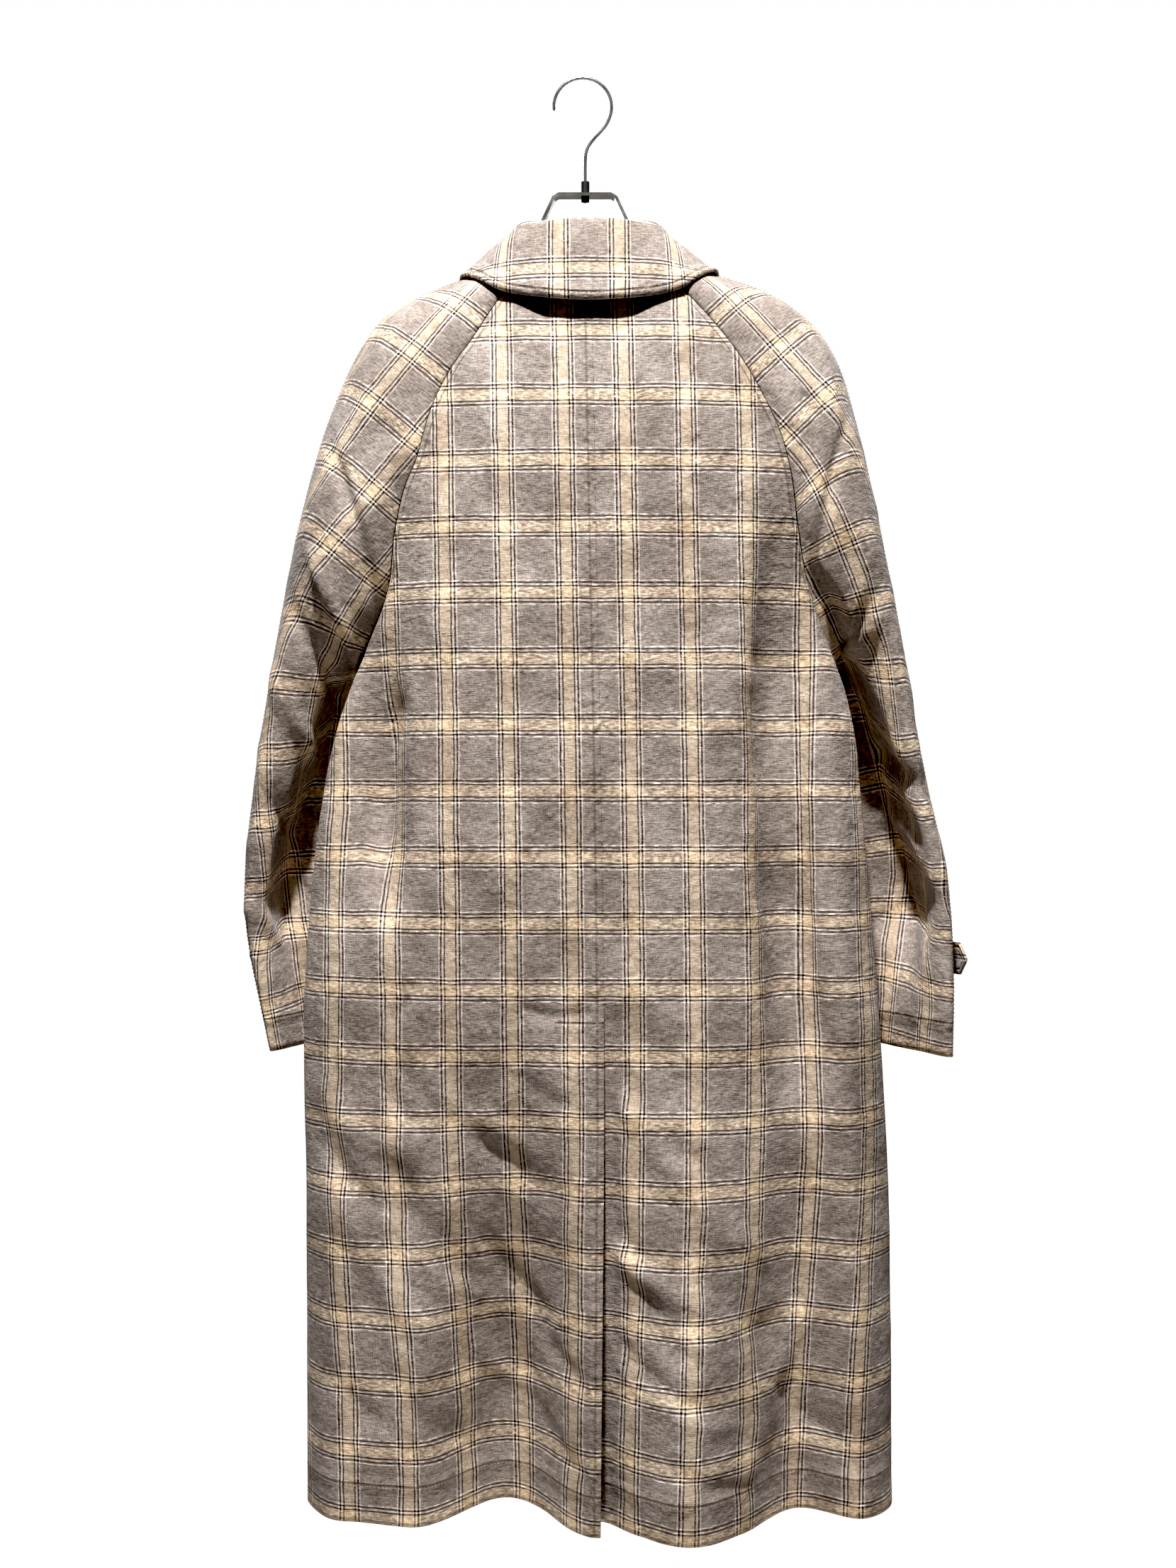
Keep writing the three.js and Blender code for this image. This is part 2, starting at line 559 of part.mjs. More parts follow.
// Neckline of one side from the centre back to the centre front
function neckline(side) {
  const row = (name) => panelNamed(`${name}_${side}`).grid[0];
  const points = [
    ...row('back'),
    ...[...row('sleeve_back')].reverse(),
    ...row('sleeve_front'),
    ...[...row('front')].reverse(),
  ];
  const separate = (point, i) => i === 0 || point.distanceTo(points[i - 1]) > 1;
  return new THREE.CatmullRomCurve3(points.filter(separate));
}

// Moves a point out of the cloth where it comes closer than the wanted clearance
function pushedOut(point, clearance) {
  let nearest = Infinity;
  let shift = 0;
  let direction = null;
  for (const panel of panels) {
    panel.grid.forEach((points, i) => points.forEach((other, j) => {
      const distance = point.distanceTo(other);
      if (distance < nearest) {
        nearest = distance;
        direction = panel.normals[i][j];
        shift = clearance - point.clone().sub(other).dot(direction);
      }
    }));
  }
  return shift > 0 ? point.addScaledVector(direction, shift) : point;
}

function collarSection(side, share) {
  const sign = side === 'left' ? 1 : -1;
  const base = neckline(side).getPointAt(share * COLLAR_REACH);
  base.z += COLLAR_LIFT;
  const place = (part) => new THREE.Vector3(
    COLLAR_MIDDLE_X + sign * read(COLLAR, 'at', share, `${part}X`),
    read(COLLAR, 'at', share, `${part}Y`),
    read(COLLAR, 'at', share, `${part}Z`),
  );
  const fold = place('fold');
  const edge = place('edge');
  const out = edge.clone().sub(base).setZ(0).normalize();
  const up = new THREE.Vector3(0, 0, 1);
  const points = COLLAR_STAND.map((t) => base.clone().lerp(fold, t));
  for (const angle of COLLAR_TURN_ANGLES) {
    const turn = angle * Math.PI / 180;
    points.push(fold.clone().addScaledVector(out, COLLAR_TURN * (1 + Math.cos(turn)))
      .addScaledVector(up, COLLAR_TURN * (Math.sin(turn) - 1)));
  }
  const shoulder = points[points.length - 1];
  const swell = edge.clone().lerp(shoulder, 0.5)
    .addScaledVector(out, COLLAR_SWELL)
    .addScaledVector(up, COLLAR_SWELL);
  const fall = new THREE.QuadraticBezierCurve3(shoulder, swell, edge);
  for (const t of COLLAR_FALL) points.push(pushedOut(fall.getPoint(t), COLLAR_CLEARANCE));
  return points;
}

function collarGrid() {
  const grid = [];
  for (let station = -COLLAR_STATIONS; station <= COLLAR_STATIONS; station += 1) {
    grid.push(collarSection(station < 0 ? 'left' : 'right', Math.abs(station) / COLLAR_STATIONS));
  }
  return grid;
}

const collar = collarGrid();
const collarNormals = gridNormals(collar, 1);
const collarFaces = [WALL / 2, -WALL / 2].map((distance) => offsetGrid(collar, collarNormals, distance));
addMesh('collar', wallGeometry(...collarFaces), CLOTH);

function disc(size) {
  const geometry = new THREE.CylinderGeometry(size.radius, size.radius, size.thick, size.sides);
  geometry.rotateX(Math.PI / 2);
  return geometry;
}

// Lays a button on a panel's outside at a point with a normal
function addButton(name, size, point, normal) {
  const mesh = addMesh(name, disc(size), HORN);
  mesh.quaternion.setFromUnitVectors(new THREE.Vector3(0, 0, 1), normal);
  mesh.position.copy(point).addScaledVector(normal, LAYER_GAP + size.thick / 2);
}

FRONT_BUTTONS_Z.forEach((z, number) => {
  const row = { ...bodyRow(RAGLAN.length, 'left', 'front'), centreZ: z, sideZ: z };
  row.sideX = z > UNDERARM_Z ? read(RAGLAN, 'leftZ', z, 'leftX') : read(SECTIONS, 'z', z, 'left');
  row.depth = z > UNDERARM_Z ? read(RAGLAN, 'leftZ', z, 'front') : read(SECTIONS, 'z', z, 'front');
  const centre = read(CENTRE_LINE, 'z', z, 'x');
  const point = bodyPoint('left', 'front', row, centre);
  addButton(`front_button_${number + 1}`, BUTTON, point, new THREE.Vector3(0, -1, 0));
});

// Pointed strap laid on the front half of a sleeve, its point past the overarm line
function addCuffTab(side) {
  const stations = SLEEVES[side];
  const low = stations.findIndex((station) => station.outZ < TAB.z);
  const mix = (TAB.z - stations[low - 1].outZ) / (stations[low].outZ - stations[low - 1].outZ);
  const section = (index, share) => sleeveSection(side, 'front', index, share);
  const on = (share) => section(low - 1, share).lerp(section(low, share), mix);
  const down = (share) => section(low, share).sub(section(low - 1, share)).normalize();
  const sign = side === 'left' ? 1 : -1;
  const centreLine = [];
  const shares = [];
  for (let step = 0; step <= TAB.steps; step += 1) {
    shares.push(TAB_START[side] + (TAB.length - TAB_START[side]) * step / TAB.steps);
  }
  centreLine.push(...shares.map(on));
  centreLine[0].x += sign * TAB_REACH[side];
  const downs = shares.map(down);
  const normals = centreLine.map((point, i) => {
    const next = centreLine[Math.min(i + 1, TAB.steps)].clone().sub(centreLine[Math.max(i - 1, 0)]);
    return next.cross(downs[i]).normalize().multiplyScalar(sign);
  });
  const grid = centreLine.map((point, i) => {
    const inset = i === 0 ? TAB.point : 0;
    return [-0.5, 0, 0.5].map((across) => {
      const shift = Math.sign(across) * (Math.abs(across) * TAB.height - inset);
      return point.clone().addScaledVector(downs[i], shift).addScaledVector(normals[i], TAB.gap + TAB.thick);
    });
  });
  const gridNormal = grid.map((points, i) => points.map(() => normals[i]));
  addMesh(`cuff_tab_${side}`, wallGeometry(grid, offsetGrid(grid, gridNormal, -TAB.thick)), CLOTH);
  addButton(`cuff_button_${side}`, CUFF_BUTTON, grid[TAB.button][1].clone(), normals[TAB.button]);
}

addCuffTab('left');
addCuffTab('right');

// Hook: a round bend over the rail, an easy S down to the stem
const hookPoints = [];
for (let angle = HOOK_TURN.start; angle <= HOOK_TURN.end; angle += HOOK_TURN.step) {
  const turn = angle * Math.PI / 180;
  hookPoints.push(new THREE.Vector3(
    HOOK_CENTRE_X + HOOK_BEND * Math.cos(turn),
    0,
    WIRE - HOOK_BEND + HOOK_BEND * Math.sin(turn),
  ));
}
for (const point of HOOK_NECK) hookPoints.push(new THREE.Vector3(point.x, 0, point.z));
hookPoints.push(new THREE.Vector3(STEM_X, 0, FERRULE.top + SEAM_GAP));
const wire = new THREE.Shape();
wire.absarc(0, 0, WIRE, 0, Math.PI * 2);
addMesh('hanger_hook', new THREE.ExtrudeGeometry(wire, {
  steps: HOOK_STEPS,
  curveSegments: 8,
  extrudePath: new THREE.CatmullRomCurve3(hookPoints),
}), CHROME);

function addUpright(name, size, top, bottom, finish) {
  const geometry = new THREE.CylinderGeometry(size.radius, size.radius, top - bottom, size.sides);
  geometry.rotateX(Math.PI / 2);
  addMesh(name, geometry, finish).position.set(STEM_X, 0, (top + bottom) / 2);
}

addUpright('hanger_ferrule', FERRULE, FERRULE.top, STRIP_TOP_Z + SEAM_GAP, CHROME);
const nutTop = STRIP_TOP_Z - STRIP_THICK - SEAM_GAP;
addUpright('hanger_nut', NUT, nutTop, nutTop - NUT.height, BLACK_STEEL);

// Strip bent from one arm's end over the top bar to the other arm's end
const stripLine = [
  ...[...STRIP_ARMS.right].reverse(),
  ...[...STRIP_LEG].reverse().map((point) => ({ x: -point.x, z: point.z })),
  ...STRIP_LEG,
  ...STRIP_ARMS.left,
].map((point) => new THREE.Vector2(point.x, point.z));
const stripSide = (distance) => stripLine.map((point, i) => {
  const next = stripLine[Math.min(i + 1, stripLine.length - 1)];
  const along = next.clone().sub(stripLine[Math.max(i - 1, 0)]).normalize();
  return new THREE.Vector2(point.x - along.y * distance, point.y + along.x * distance);
});
const stripShape = new THREE.Shape([...stripSide(STRIP_THICK / 2), ...stripSide(-STRIP_THICK / 2).reverse()]);
const strip = new THREE.ExtrudeGeometry(stripShape, { depth: STRIP_DEPTH, bevelEnabled: false });
strip.rotateX(Math.PI / 2);
strip.translate(0, STRIP_DEPTH / 2, 0);
addMesh('hanger_frame', strip, CHROME);

export default coat;
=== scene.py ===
# Looks of the reversible raglan coat on its metal hanger.
# Tables and surface work are in millimetres, +Z up, the coat's front to -Y and its left side to +X.
# Every mesh is written in metres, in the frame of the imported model.
import math

import bmesh
import bpy
import numpy as np
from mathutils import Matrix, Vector, kdtree


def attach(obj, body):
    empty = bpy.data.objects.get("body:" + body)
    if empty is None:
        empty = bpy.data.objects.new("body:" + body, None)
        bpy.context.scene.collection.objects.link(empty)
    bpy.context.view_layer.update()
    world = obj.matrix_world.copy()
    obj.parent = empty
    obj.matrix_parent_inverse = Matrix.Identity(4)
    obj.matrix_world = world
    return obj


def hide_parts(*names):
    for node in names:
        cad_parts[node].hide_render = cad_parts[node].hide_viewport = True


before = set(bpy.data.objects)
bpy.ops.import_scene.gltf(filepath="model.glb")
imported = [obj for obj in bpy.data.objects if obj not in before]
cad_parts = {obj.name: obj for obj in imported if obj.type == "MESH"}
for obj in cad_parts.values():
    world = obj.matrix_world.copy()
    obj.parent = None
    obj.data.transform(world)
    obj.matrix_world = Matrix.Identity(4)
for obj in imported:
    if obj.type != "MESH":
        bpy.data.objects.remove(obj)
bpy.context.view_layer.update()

MM = 0.001


def table(columns, *rows):
    """Rows of numbers under named columns."""
    return {name: np.array([row[place] for row in rows], float)
            for place, name in enumerate(columns.split())}


def tables(columns, **groups):
    """Tables with the same columns, by name."""
    return {name: table(columns, *rows) for name, rows in groups.items()}


# The coat's own left and right, and which way its faces look
SIDES = {"left": 1, "right": -1}
OUTWARD = {"back": 1, "front": -1}
BODY = "root"

# Camera: the photograph's height, its scale at the hanger and how far the camera stands behind the coat
FRAME_HEIGHT = 2212
MM_A_PIXEL = 0.65
CAMERA_DISTANCE = 1800
CENTRE_X = -2.9
CENTRE_Z = -646
CAMERA_REACH = 100

# Cloth: walls, steps of its grids, rolled seams and where its parts lie
WALL = 2.0
ROW_STEP = 4.2
COLUMN_STEP = 4.8
EDGE_STEPS = (0.0, 0.7, 1.6, 3.2)
EDGE_SHARE = 0.2
SIDE_SAMPLES = 240
SIDE_CLOSENESS = 0.6
SEAM_SINK = 0.45
SEAM_ROLL = 2.2
ROUNDNESS = 3.4
LOWER_BEND = 0.5
UNDERARM_Z = -530
VENT_TOP_Z = -857
HEM_Z = -1300
VENT_WIDTH = 44
VENT_SAMPLES = 24
VENT_OPEN_TOP = 3
VENT_OPEN_HEM = 22
VENT_FADE = 32
VENT_SEAM_FADE = 20
FRONT_LAP = 30
FRONT_FADE = 45
LAP_DROP = 2.7
FRONT_DROP_SHARE = 0.4

# Sleeves: rows below the armpit, the curve round each row, and the wall of an empty sleeve's hollow
SLEEVE_LOWER_ROWS = 74
CURVE_SAMPLES = 120
NEAR_OUTER = 0.06
HOLLOW_WALL = 11

# Relief: listed creases, and broad and short waves drawn at random, in mm and radians
BODY_STRENGTH = 1.65
SLEEVE_STRENGTH = 1.9
BODY_FADE = 24
SLEEVE_FADE = 16
CREASE_BOW = 0.45
BODY_SEED = 11
SLEEVE_SEED = 31
COLLAR_SEED = 51
BACK_SEED_STEP = 4
WAVES = 9
WAVE_LENGTH = (48, 130)
WAVE_TURN = 0.9
WAVE_HEIGHT = (0.15, 0.42)
RUMPLES = 26
RUMPLE_LENGTH = (17, 46)
RUMPLE_TURN = 1.3
RUMPLE_HEIGHT = (0.06, 0.2)
RUMPLE_SCALE = 40

# Stitched lines: how far they run from their edges, and how far their grooves and puckers reach
SEAM_STITCH = 6.0
HEM_STITCH = 34
CUFF_STITCH = 30
NO_STITCH = 500.0
GROOVE = 1.7
PUCKER_REACH = 9

# Plaid: repeats across and along the cloth, where bands' centres fall, and how far bands follow folds
BAND_ACROSS = 54
BAND_ALONG = 58.5
BAND_Z = -244
BACK_PHASE = -27
FOLD_GRAIN = 0.25
# Yarn tones are square roots of their colours, which lets the dark yarns show as strongly as they do
CREAM = (0.89, 0.785, 0.655, 1)
DARK = (0.07, 0.05, 0.05, 1)
WHITE = (0.96, 0.89, 0.83, 1)
GREY = (0.555, 0.513, 0.485, 1)
# Yarns of one repeat, from a band's centre outwards: how far each reaches, in mm
YARNS = {
    "across": ((4.5, CREAM), (5.9, DARK), (7.5, WHITE), (9.2, DARK), (10.6, WHITE), (99, GREY)),
    "along": ((4.7, CREAM), (6.2, DARK), (7.8, WHITE), (9.6, DARK), (11.1, WHITE), (99, GREY)),
}
# The weave: twill lines and wobble in mm, then noises in grains to a metre and how strongly each acts
TWILL = 1.5
TWILL_SHARE = 0.3
UNEVEN_TWILL = 2.0
WOBBLE = 1.6
WOBBLE_SCALE = 55
WORN_SCALE = 12
RIPPLE_SCALE = 95
CRINKLE_SCALE = 120
TWILL_STREAKS = (190.0, 620.0, 1.0)
WARP_STREAKS = (1100.0, 160.0, 1.0)
WEFT_STREAKS = (160.0, 1100.0, 1.0)
SLUB_TONE = 0.3
TWILL_TONE = 0.4
PLAID_RELIEF = 2.6
SLUB_RELIEF = 0.25
GROOVE_RELIEF = 0.5
PUCKER_RELIEF = 1.5
# Tones that noise and wear lay over the yarns, painted shade that darkens the stitches' grooves, and those
# of the metal
PLAIN_TONE = (1, 1, 1, 1)
FLECK_TONES = ((0.36, (0.5, 0.485, 0.475, 1)), (0.5, PLAIN_TONE), (0.64, (1.5, 1.48, 1.45, 1)))
WORN_TONES = ((0.36, (0.62, 0.585, 0.555, 1)), (0.64, (1.3, 1.3, 1.3, 1)))
# Painted shade: the cloth's colour darkens towards each stitched line, where its groove lies
PAINTED_GROOVE_SHADE = ((0.0, PLAIN_TONE), (1.0, (0.66, 0.63, 0.6, 1)))
CHROME_GLOSS = ((0.3, (0.12, 0.12, 0.12, 1)), (0.7, (0.24, 0.24, 0.24, 1)))

# Collar: its stand starts on the neck edge, turns over at the fold line and falls to the free edge
COLLAR_MIDDLE_X = -4
COLLAR_LIFT = 0.8
COLLAR_TURN = 3.6
COLLAR_CLEARANCE = 4.8
COLLAR_REACH = 0.93
COLLAR_SWELL = 3
COLLAR_STATIONS = 64
COLLAR_WALL = 2.6
COLLAR_BAND_Z = -189
COLLAR_STITCH = 6.5
COLLAR_GROOVE = 0.7
COLLAR_GROOVE_WIDTH = 1.6
COLLAR_SLACK = 0.8
COLLAR_SMOOTHINGS = 6
STAND_SHARE = 0.85
STAND_POINTS = 8
TURN_POINTS = 9
TURN_FROM = 165
TURN_TO = 35
FALL_POINTS = 18
FALL_START = STAND_POINTS + TURN_POINTS
NECK_REACH_Z = -330

# Cuff tabs: straps with a point, laid round the front half of a sleeve
TAB_Z = -807
TAB_HEIGHT = 29
TAB_END = 0.78
TAB_POINT = 14
TAB_TIP = 0.6
TAB_TIP_EDGE = 0.3
TAB_WALL = 2.4
TAB_LIFT = 4.2
TAB_STEPS = 40
TAB_COLUMNS = 17
TAB_ROLL = 2.2
TAB_SINK = 0.8
TAB_STITCH = 4.5
TAB_PLAID = (9, 20)
TAB_START = {"left": 0.07, "right": 0.0}
TAB_REACH = {"left": 0, "right": 10}

# Buttons: how far out and how high each ring of the turned form lies, in shares of radius and thickness
BUTTON_RINGS = table(
    "out up",
    (0.0, 0.18),
    (0.3, 0.18),
    (0.52, 0.2),
    (0.64, 0.3),
    (0.74, 0.46),
    (0.86, 0.5),
    (0.95, 0.4),
    (1.0, 0.12),
    (0.97, -0.3),
    (0.86, -0.5),
    (0.0, -0.5),
)
BUTTON_TURNS = 48
FRONT_BUTTONS = 5
HOLE_OUT = 0.2
THREAD_UP = 0.2
THREAD_LIFT = 0.3
THREAD_SINK = 0.15
THREAD_ASIDE = 0.35

# Hook: bent wire with a round bend and a neck, whose points are x and z, and its rounded first end
HOOK_BEND = 26.5
HOOK_WIRE = 1.45
HOOK_MIDDLE_X = 2
HOOK_TURNS = np.arange(-8, 201, 16)
HOOK_NECK = ((-18.5, -43), (-5.2, -58.4), (-1.2, -67), (-0.4, -80), (-0.4, -93.8))
HOOK_STEPS = 220
HOOK_SIDES = 24
HOOK_END = (0.3, 0.72, 0.9, 0.98)

# Stage: floor, world light for soft and for glossy rays, sun and lamps in metres and watts
FLOOR_Z = -2100
FLOOR_RADIUS = 1400
FLOOR_SIDES = 96
AMBIENT = (0.08, 0.0736, 0.0688, 1)
GLOSS = (0.22, 0.22, 0.22, 1)
SUN_TOWARD = (0.0, 0.3, 1.0)
SUN_STRENGTH = 0.4
SUN_SPREAD = 8
LIGHTS = (
    ("key", (0.1, 1.06, 1.5), (0, 0, -0.8), 0.12, 128),
    ("fill", (0.2, -2.6, 0.9), (0, 0, -0.6), 1.8, 66),
)
BLACK_LEVEL = (0.031, 0.0305, 0.03)

# Middle line of the back, which drifts to the coat's right as it hangs
CENTRE_LINE = table(
    "z x",
    (-170, -5),
    (-300, -8),
    (-857, -17),
    (-1300, -14),
)
# Rows down the raglan seam: its places, how deep the body is there, and the height at the centre
RAGLAN = table(
    "left_x right_x left_z right_z y back front front_x drop bend centre_back centre_front",
    (57, -64, -186, -184, 41, 48, -64, 50, 22, 1, -180, -240),
    (79, -92, -215, -208, 45, 53, -66, 75, 16, 1, -210, -262),
    (100, -118, -248, -237, 49, 58, -68, 98, 10, 1, -242, -285),
    (120, -140, -277, -267, 52, 62, -68, 119, 5, 1, -272, -308),
    (137, -159, -312, -300, 53, 65, -68, 137, 2, 0.95, -306, -335),
    (150, -175, -356, -335, 52, 67, -67, 150, 0, 0.9, -346, -365),
    (162, -185, -385, -372, 48, 68, -66, 162, 0, 0.8, -379, -398),
    (171, -191, -424, -414, 41, 68, -66, 170, 0, 0.7, -419, -436),
    (178, -202, -472, -468, 27, 68, -66, 178, 0, 0.6, -469, -480),
    (203, -227, -530, -530, 0, 68, -66, 203, 0, 0.5, -530, -530),
)
ARMPIT_ROW = len(RAGLAN["y"]) - 1
UPPER_STEPS = int(round((RAGLAN["centre_back"][0] - UNDERARM_Z) / ROW_STEP))
# Level sections of the body below the armpit: side seams, and depths of the back and front
SECTIONS = table(
    "z left right back front",
    (-530, 203, -227, 68, -66),
    (-560, 215, -238, 68, -66),
    (-600, 228, -247, 68, -67),
    (-646, 238, -252, 69, -68),
    (-740, 250, -260, 71, -71),
    (-850, 257, -269, 74, -74),
    (-1020, 255, -278, 78, -78),
    (-1300, 254, -281, 82, -82),
)
# Deep folds of the body panels: where each runs, and the heights at which it starts, is full and ends
FOLDS = tables(
    "x lean width depth start full fade end",
    back_left=(
        (71, 0, 84, -80, -800, -1300, -1400, -1500),
        (-6, 0, 55, 16, -800, -1300, -1400, -1500),
        (222, 0.02, 34, 16, -800, -1300, -1400, -1500),
        (196, -0.02, 46, -46, -470, -590, -640, -800),
        (60, 0.1, 60, 5, -400, -650, -700, -1000),
    ),
    back_right=(
        (-90, 0, 72, 38, -800, -1300, -1400, -1500),
        (-182, -0.02, 58, -50, -700, -1300, -1400, -1500),
        (-180, -0.03, 50, -32, -380, -560, -820, -980),
        (-224, -0.05, 34, 12, -540, -700, -1400, -1500),
    ),
    front_left=(
        (120, 0.02, 70, -34, -700, -1300, -1400, -1500),
        (210, -0.02, 50, -22, -480, -570, -620, -900),
        (62, 0.02, 44, 12, -800, -1300, -1400, -1500),
    ),
    front_right=(
        (-170, -0.02, 66, -36, -700, -1300, -1400, -1500),
        (-225, 0.02, 46, -22, -480, -570, -620, -900),
        (-128, 0, 50, 10, -800, -1300, -1400, -1500),
    ),
)
# Stations down the sleeves: overarm and underarm lines, and how far each half bulges near them
SLEEVES = tables(
    "out_x out_y out_z in_x in_y in_z back_out back_in front_out front_in tuck",
    left=(
        (72, 0, -176, 0, 0, 0, 24, 6, 26, 6, 0.3),
        (100, 0, -181, 0, 0, 0, 30, 6, 32, 8, 0.3),
        (130, 0, -191, 0, 0, 0, 36, 7, 38, 10, 0.3),
        (158, 0, -204, 0, 0, 0, 42, 9, 44, 13, 0.3),
        (184, 0, -220, 0, 0, 0, 46, 11, 50, 17, 0.3),
        (203, -1, -244, 0, 0, 0, 50, 14, 58, 23, 0.3),
        (218, -2, -272, 0, 0, 0, 54, 20, 66, 32, 0.3),
        (233, -4, -308, 0, 0, 0, 58, 30, 74, 46, 0.3),
        (248, -6, -352, 0, 0, 0, 64, 48, 82, 66, 0.3),
        (263, -8, -408, 0, 0, 0, 70, 66, 90, 76, 0.2),
        (272, -9, -452, 208, -46, -556, 72, 86, 98, 48, 0.15),
        (281, -10, -499, 217, -50, -588, 74, 70, 106, 48, 0.25),
        (290, -11, -550, 225, -54, -626, 74, 58, 112, 50, 0.32),
        (299, -12, -606, 232, -56, -664, 74, 48, 114, 54, 0.38),
        (307, -15, -660, 237, -58, -702, 70, 36, 110, 58, 0.42),
        (313, -18, -710, 240, -60, -742, 62, 28, 104, 58, 0.44),
        (315, -20, -757, 243, -62, -783, 54, 20, 96, 56, 0.46),
        (310, -20, -803, 247, -62, -820, 46, 14, 97, 72, 0.46),
        (301, -20, -849, 246, -68, -856, 40, 10, 92, 72, 0.46),
        (292, -20, -893, 244, -72, -889, 34, 8, 88, 70, 0.46),
    ),
    right=(
        (-80, 0, -174, 0, 0, 0, 24, 6, 26, 6, 0.3),
        (-112, 0, -179, 0, 0, 0, 30, 6, 32, 8, 0.3),
        (-146, 0, -188, 0, 0, 0, 36, 7, 38, 10, 0.3),
        (-174, 0, -200, 0, 0, 0, 42, 9, 44, 13, 0.3),
        (-198, 0, -216, 0, 0, 0, 46, 11, 50, 17, 0.3),
        (-217, 0, -236, 0, 0, 0, 50, 14, 58, 23, 0.3),
        (-232, 0, -262, 0, 0, 0, 54, 20, 66, 32, 0.3),
        (-244, 0, -298, 0, 0, 0, 58, 30, 74, 46, 0.3),
        (-256, 0, -345, 0, 0, 0, 64, 44, 80, 56, 0.3),
        (-268, 1, -403, 0, 0, 0, 72, 56, 90, 70, 0.2),
        (-277, 2, -447, -229, -46, -556, 76, 74, 94, 46, 0.2),
        (-286, 3, -494, -237, -50, -588, 78, 60, 98, 48, 0.3),
        (-294, 4, -546, -242, -54, -626, 78, 50, 102, 50, 0.36),
        (-303, 6, -600, -247, -57, -664, 76, 43, 104, 51, 0.4),
        (-314, 9, -654, -250, -60, -702, 72, 38, 104, 50, 0.42),
        (-325, 12, -706, -253, -61, -742, 66, 33, 102, 49, 0.44),
        (-332, 14, -754, -256, -62, -782, 54, 24, 96, 46, 0.44),
        (-335, 14, -802, -260, -62, -820, 50, 18, 100, 66, 0.42),
        (-335, 16, -849, -259, -68, -856, 46, 12, 98, 66, 0.42),
        (-334, 18, -893, -257, -72, -889, 44, 8, 95, 64, 0.42),
    ),
)
# The hollow of an empty sleeve beside the body: where its folded edge lies, and how full the hollow is
HOLLOWS = tables(
    "z edge share",
    left=(
        (-528, 200, 0),
        (-548, 226, 0.9),
        (-611, 252, 0.98),
        (-674, 272, 0.98),
        (-724, 286, 0.98),
        (-769, 290, 0.95),
        (-850, 276, 0),
    ),
    right=(
        (-432, 190, 0),
        (-475, 224, 0.85),
        (-531, 246, 0.95),
        (-582, 266, 0.97),
        (-666, 294, 0.98),
        (-720, 308, 0.97),
        (-765, 314, 0.9),
        (-850, 300, 0),
    ),
)
# Lean of the sleeves' grain from upright, in degrees, at heights of the overarm line
GRAIN = tables(
    "z lean",
    left=((-170, 39.4), (-385, 39.4), (-450, 27), (-510, 16), (-600, 7), (-760, -2), (-900, -8)),
    right=((-170, 43), (-262, 43), (-325, 28), (-400, 22), (-560, 20), (-680, 10), (-780, -2), (-900, -5)),
)
# A place on a sleeve where the middle of a long band passes, and one where that of a cross band does
SLEEVE_BANDS = {
    "left": {"across": (160, -267), "along": (219, -287)},
    "right": {"across": (-162, -243), "along": (-183, -249)},
}
# Collar: fold line and free edge at shares of the neckline, from the centre back
COLLAR = table(
    "at fold_x fold_y fold_z edge_x edge_y edge_z",
    (0, 0, 47, -143, 0, 65, -218),
    (0.15, 29, 46, -143, 46, 62, -214),
    (0.3, 54, 35, -144, 84, 48, -204),
    (0.45, 69, 10, -149, 114, 14, -183),
    (0.6, 69, -17, -160, 116, -26, -196),
    (0.8, 48, -46, -184, 92, -66, -240),
    (1, 6, -66, -212, 48, -80, -286),
)
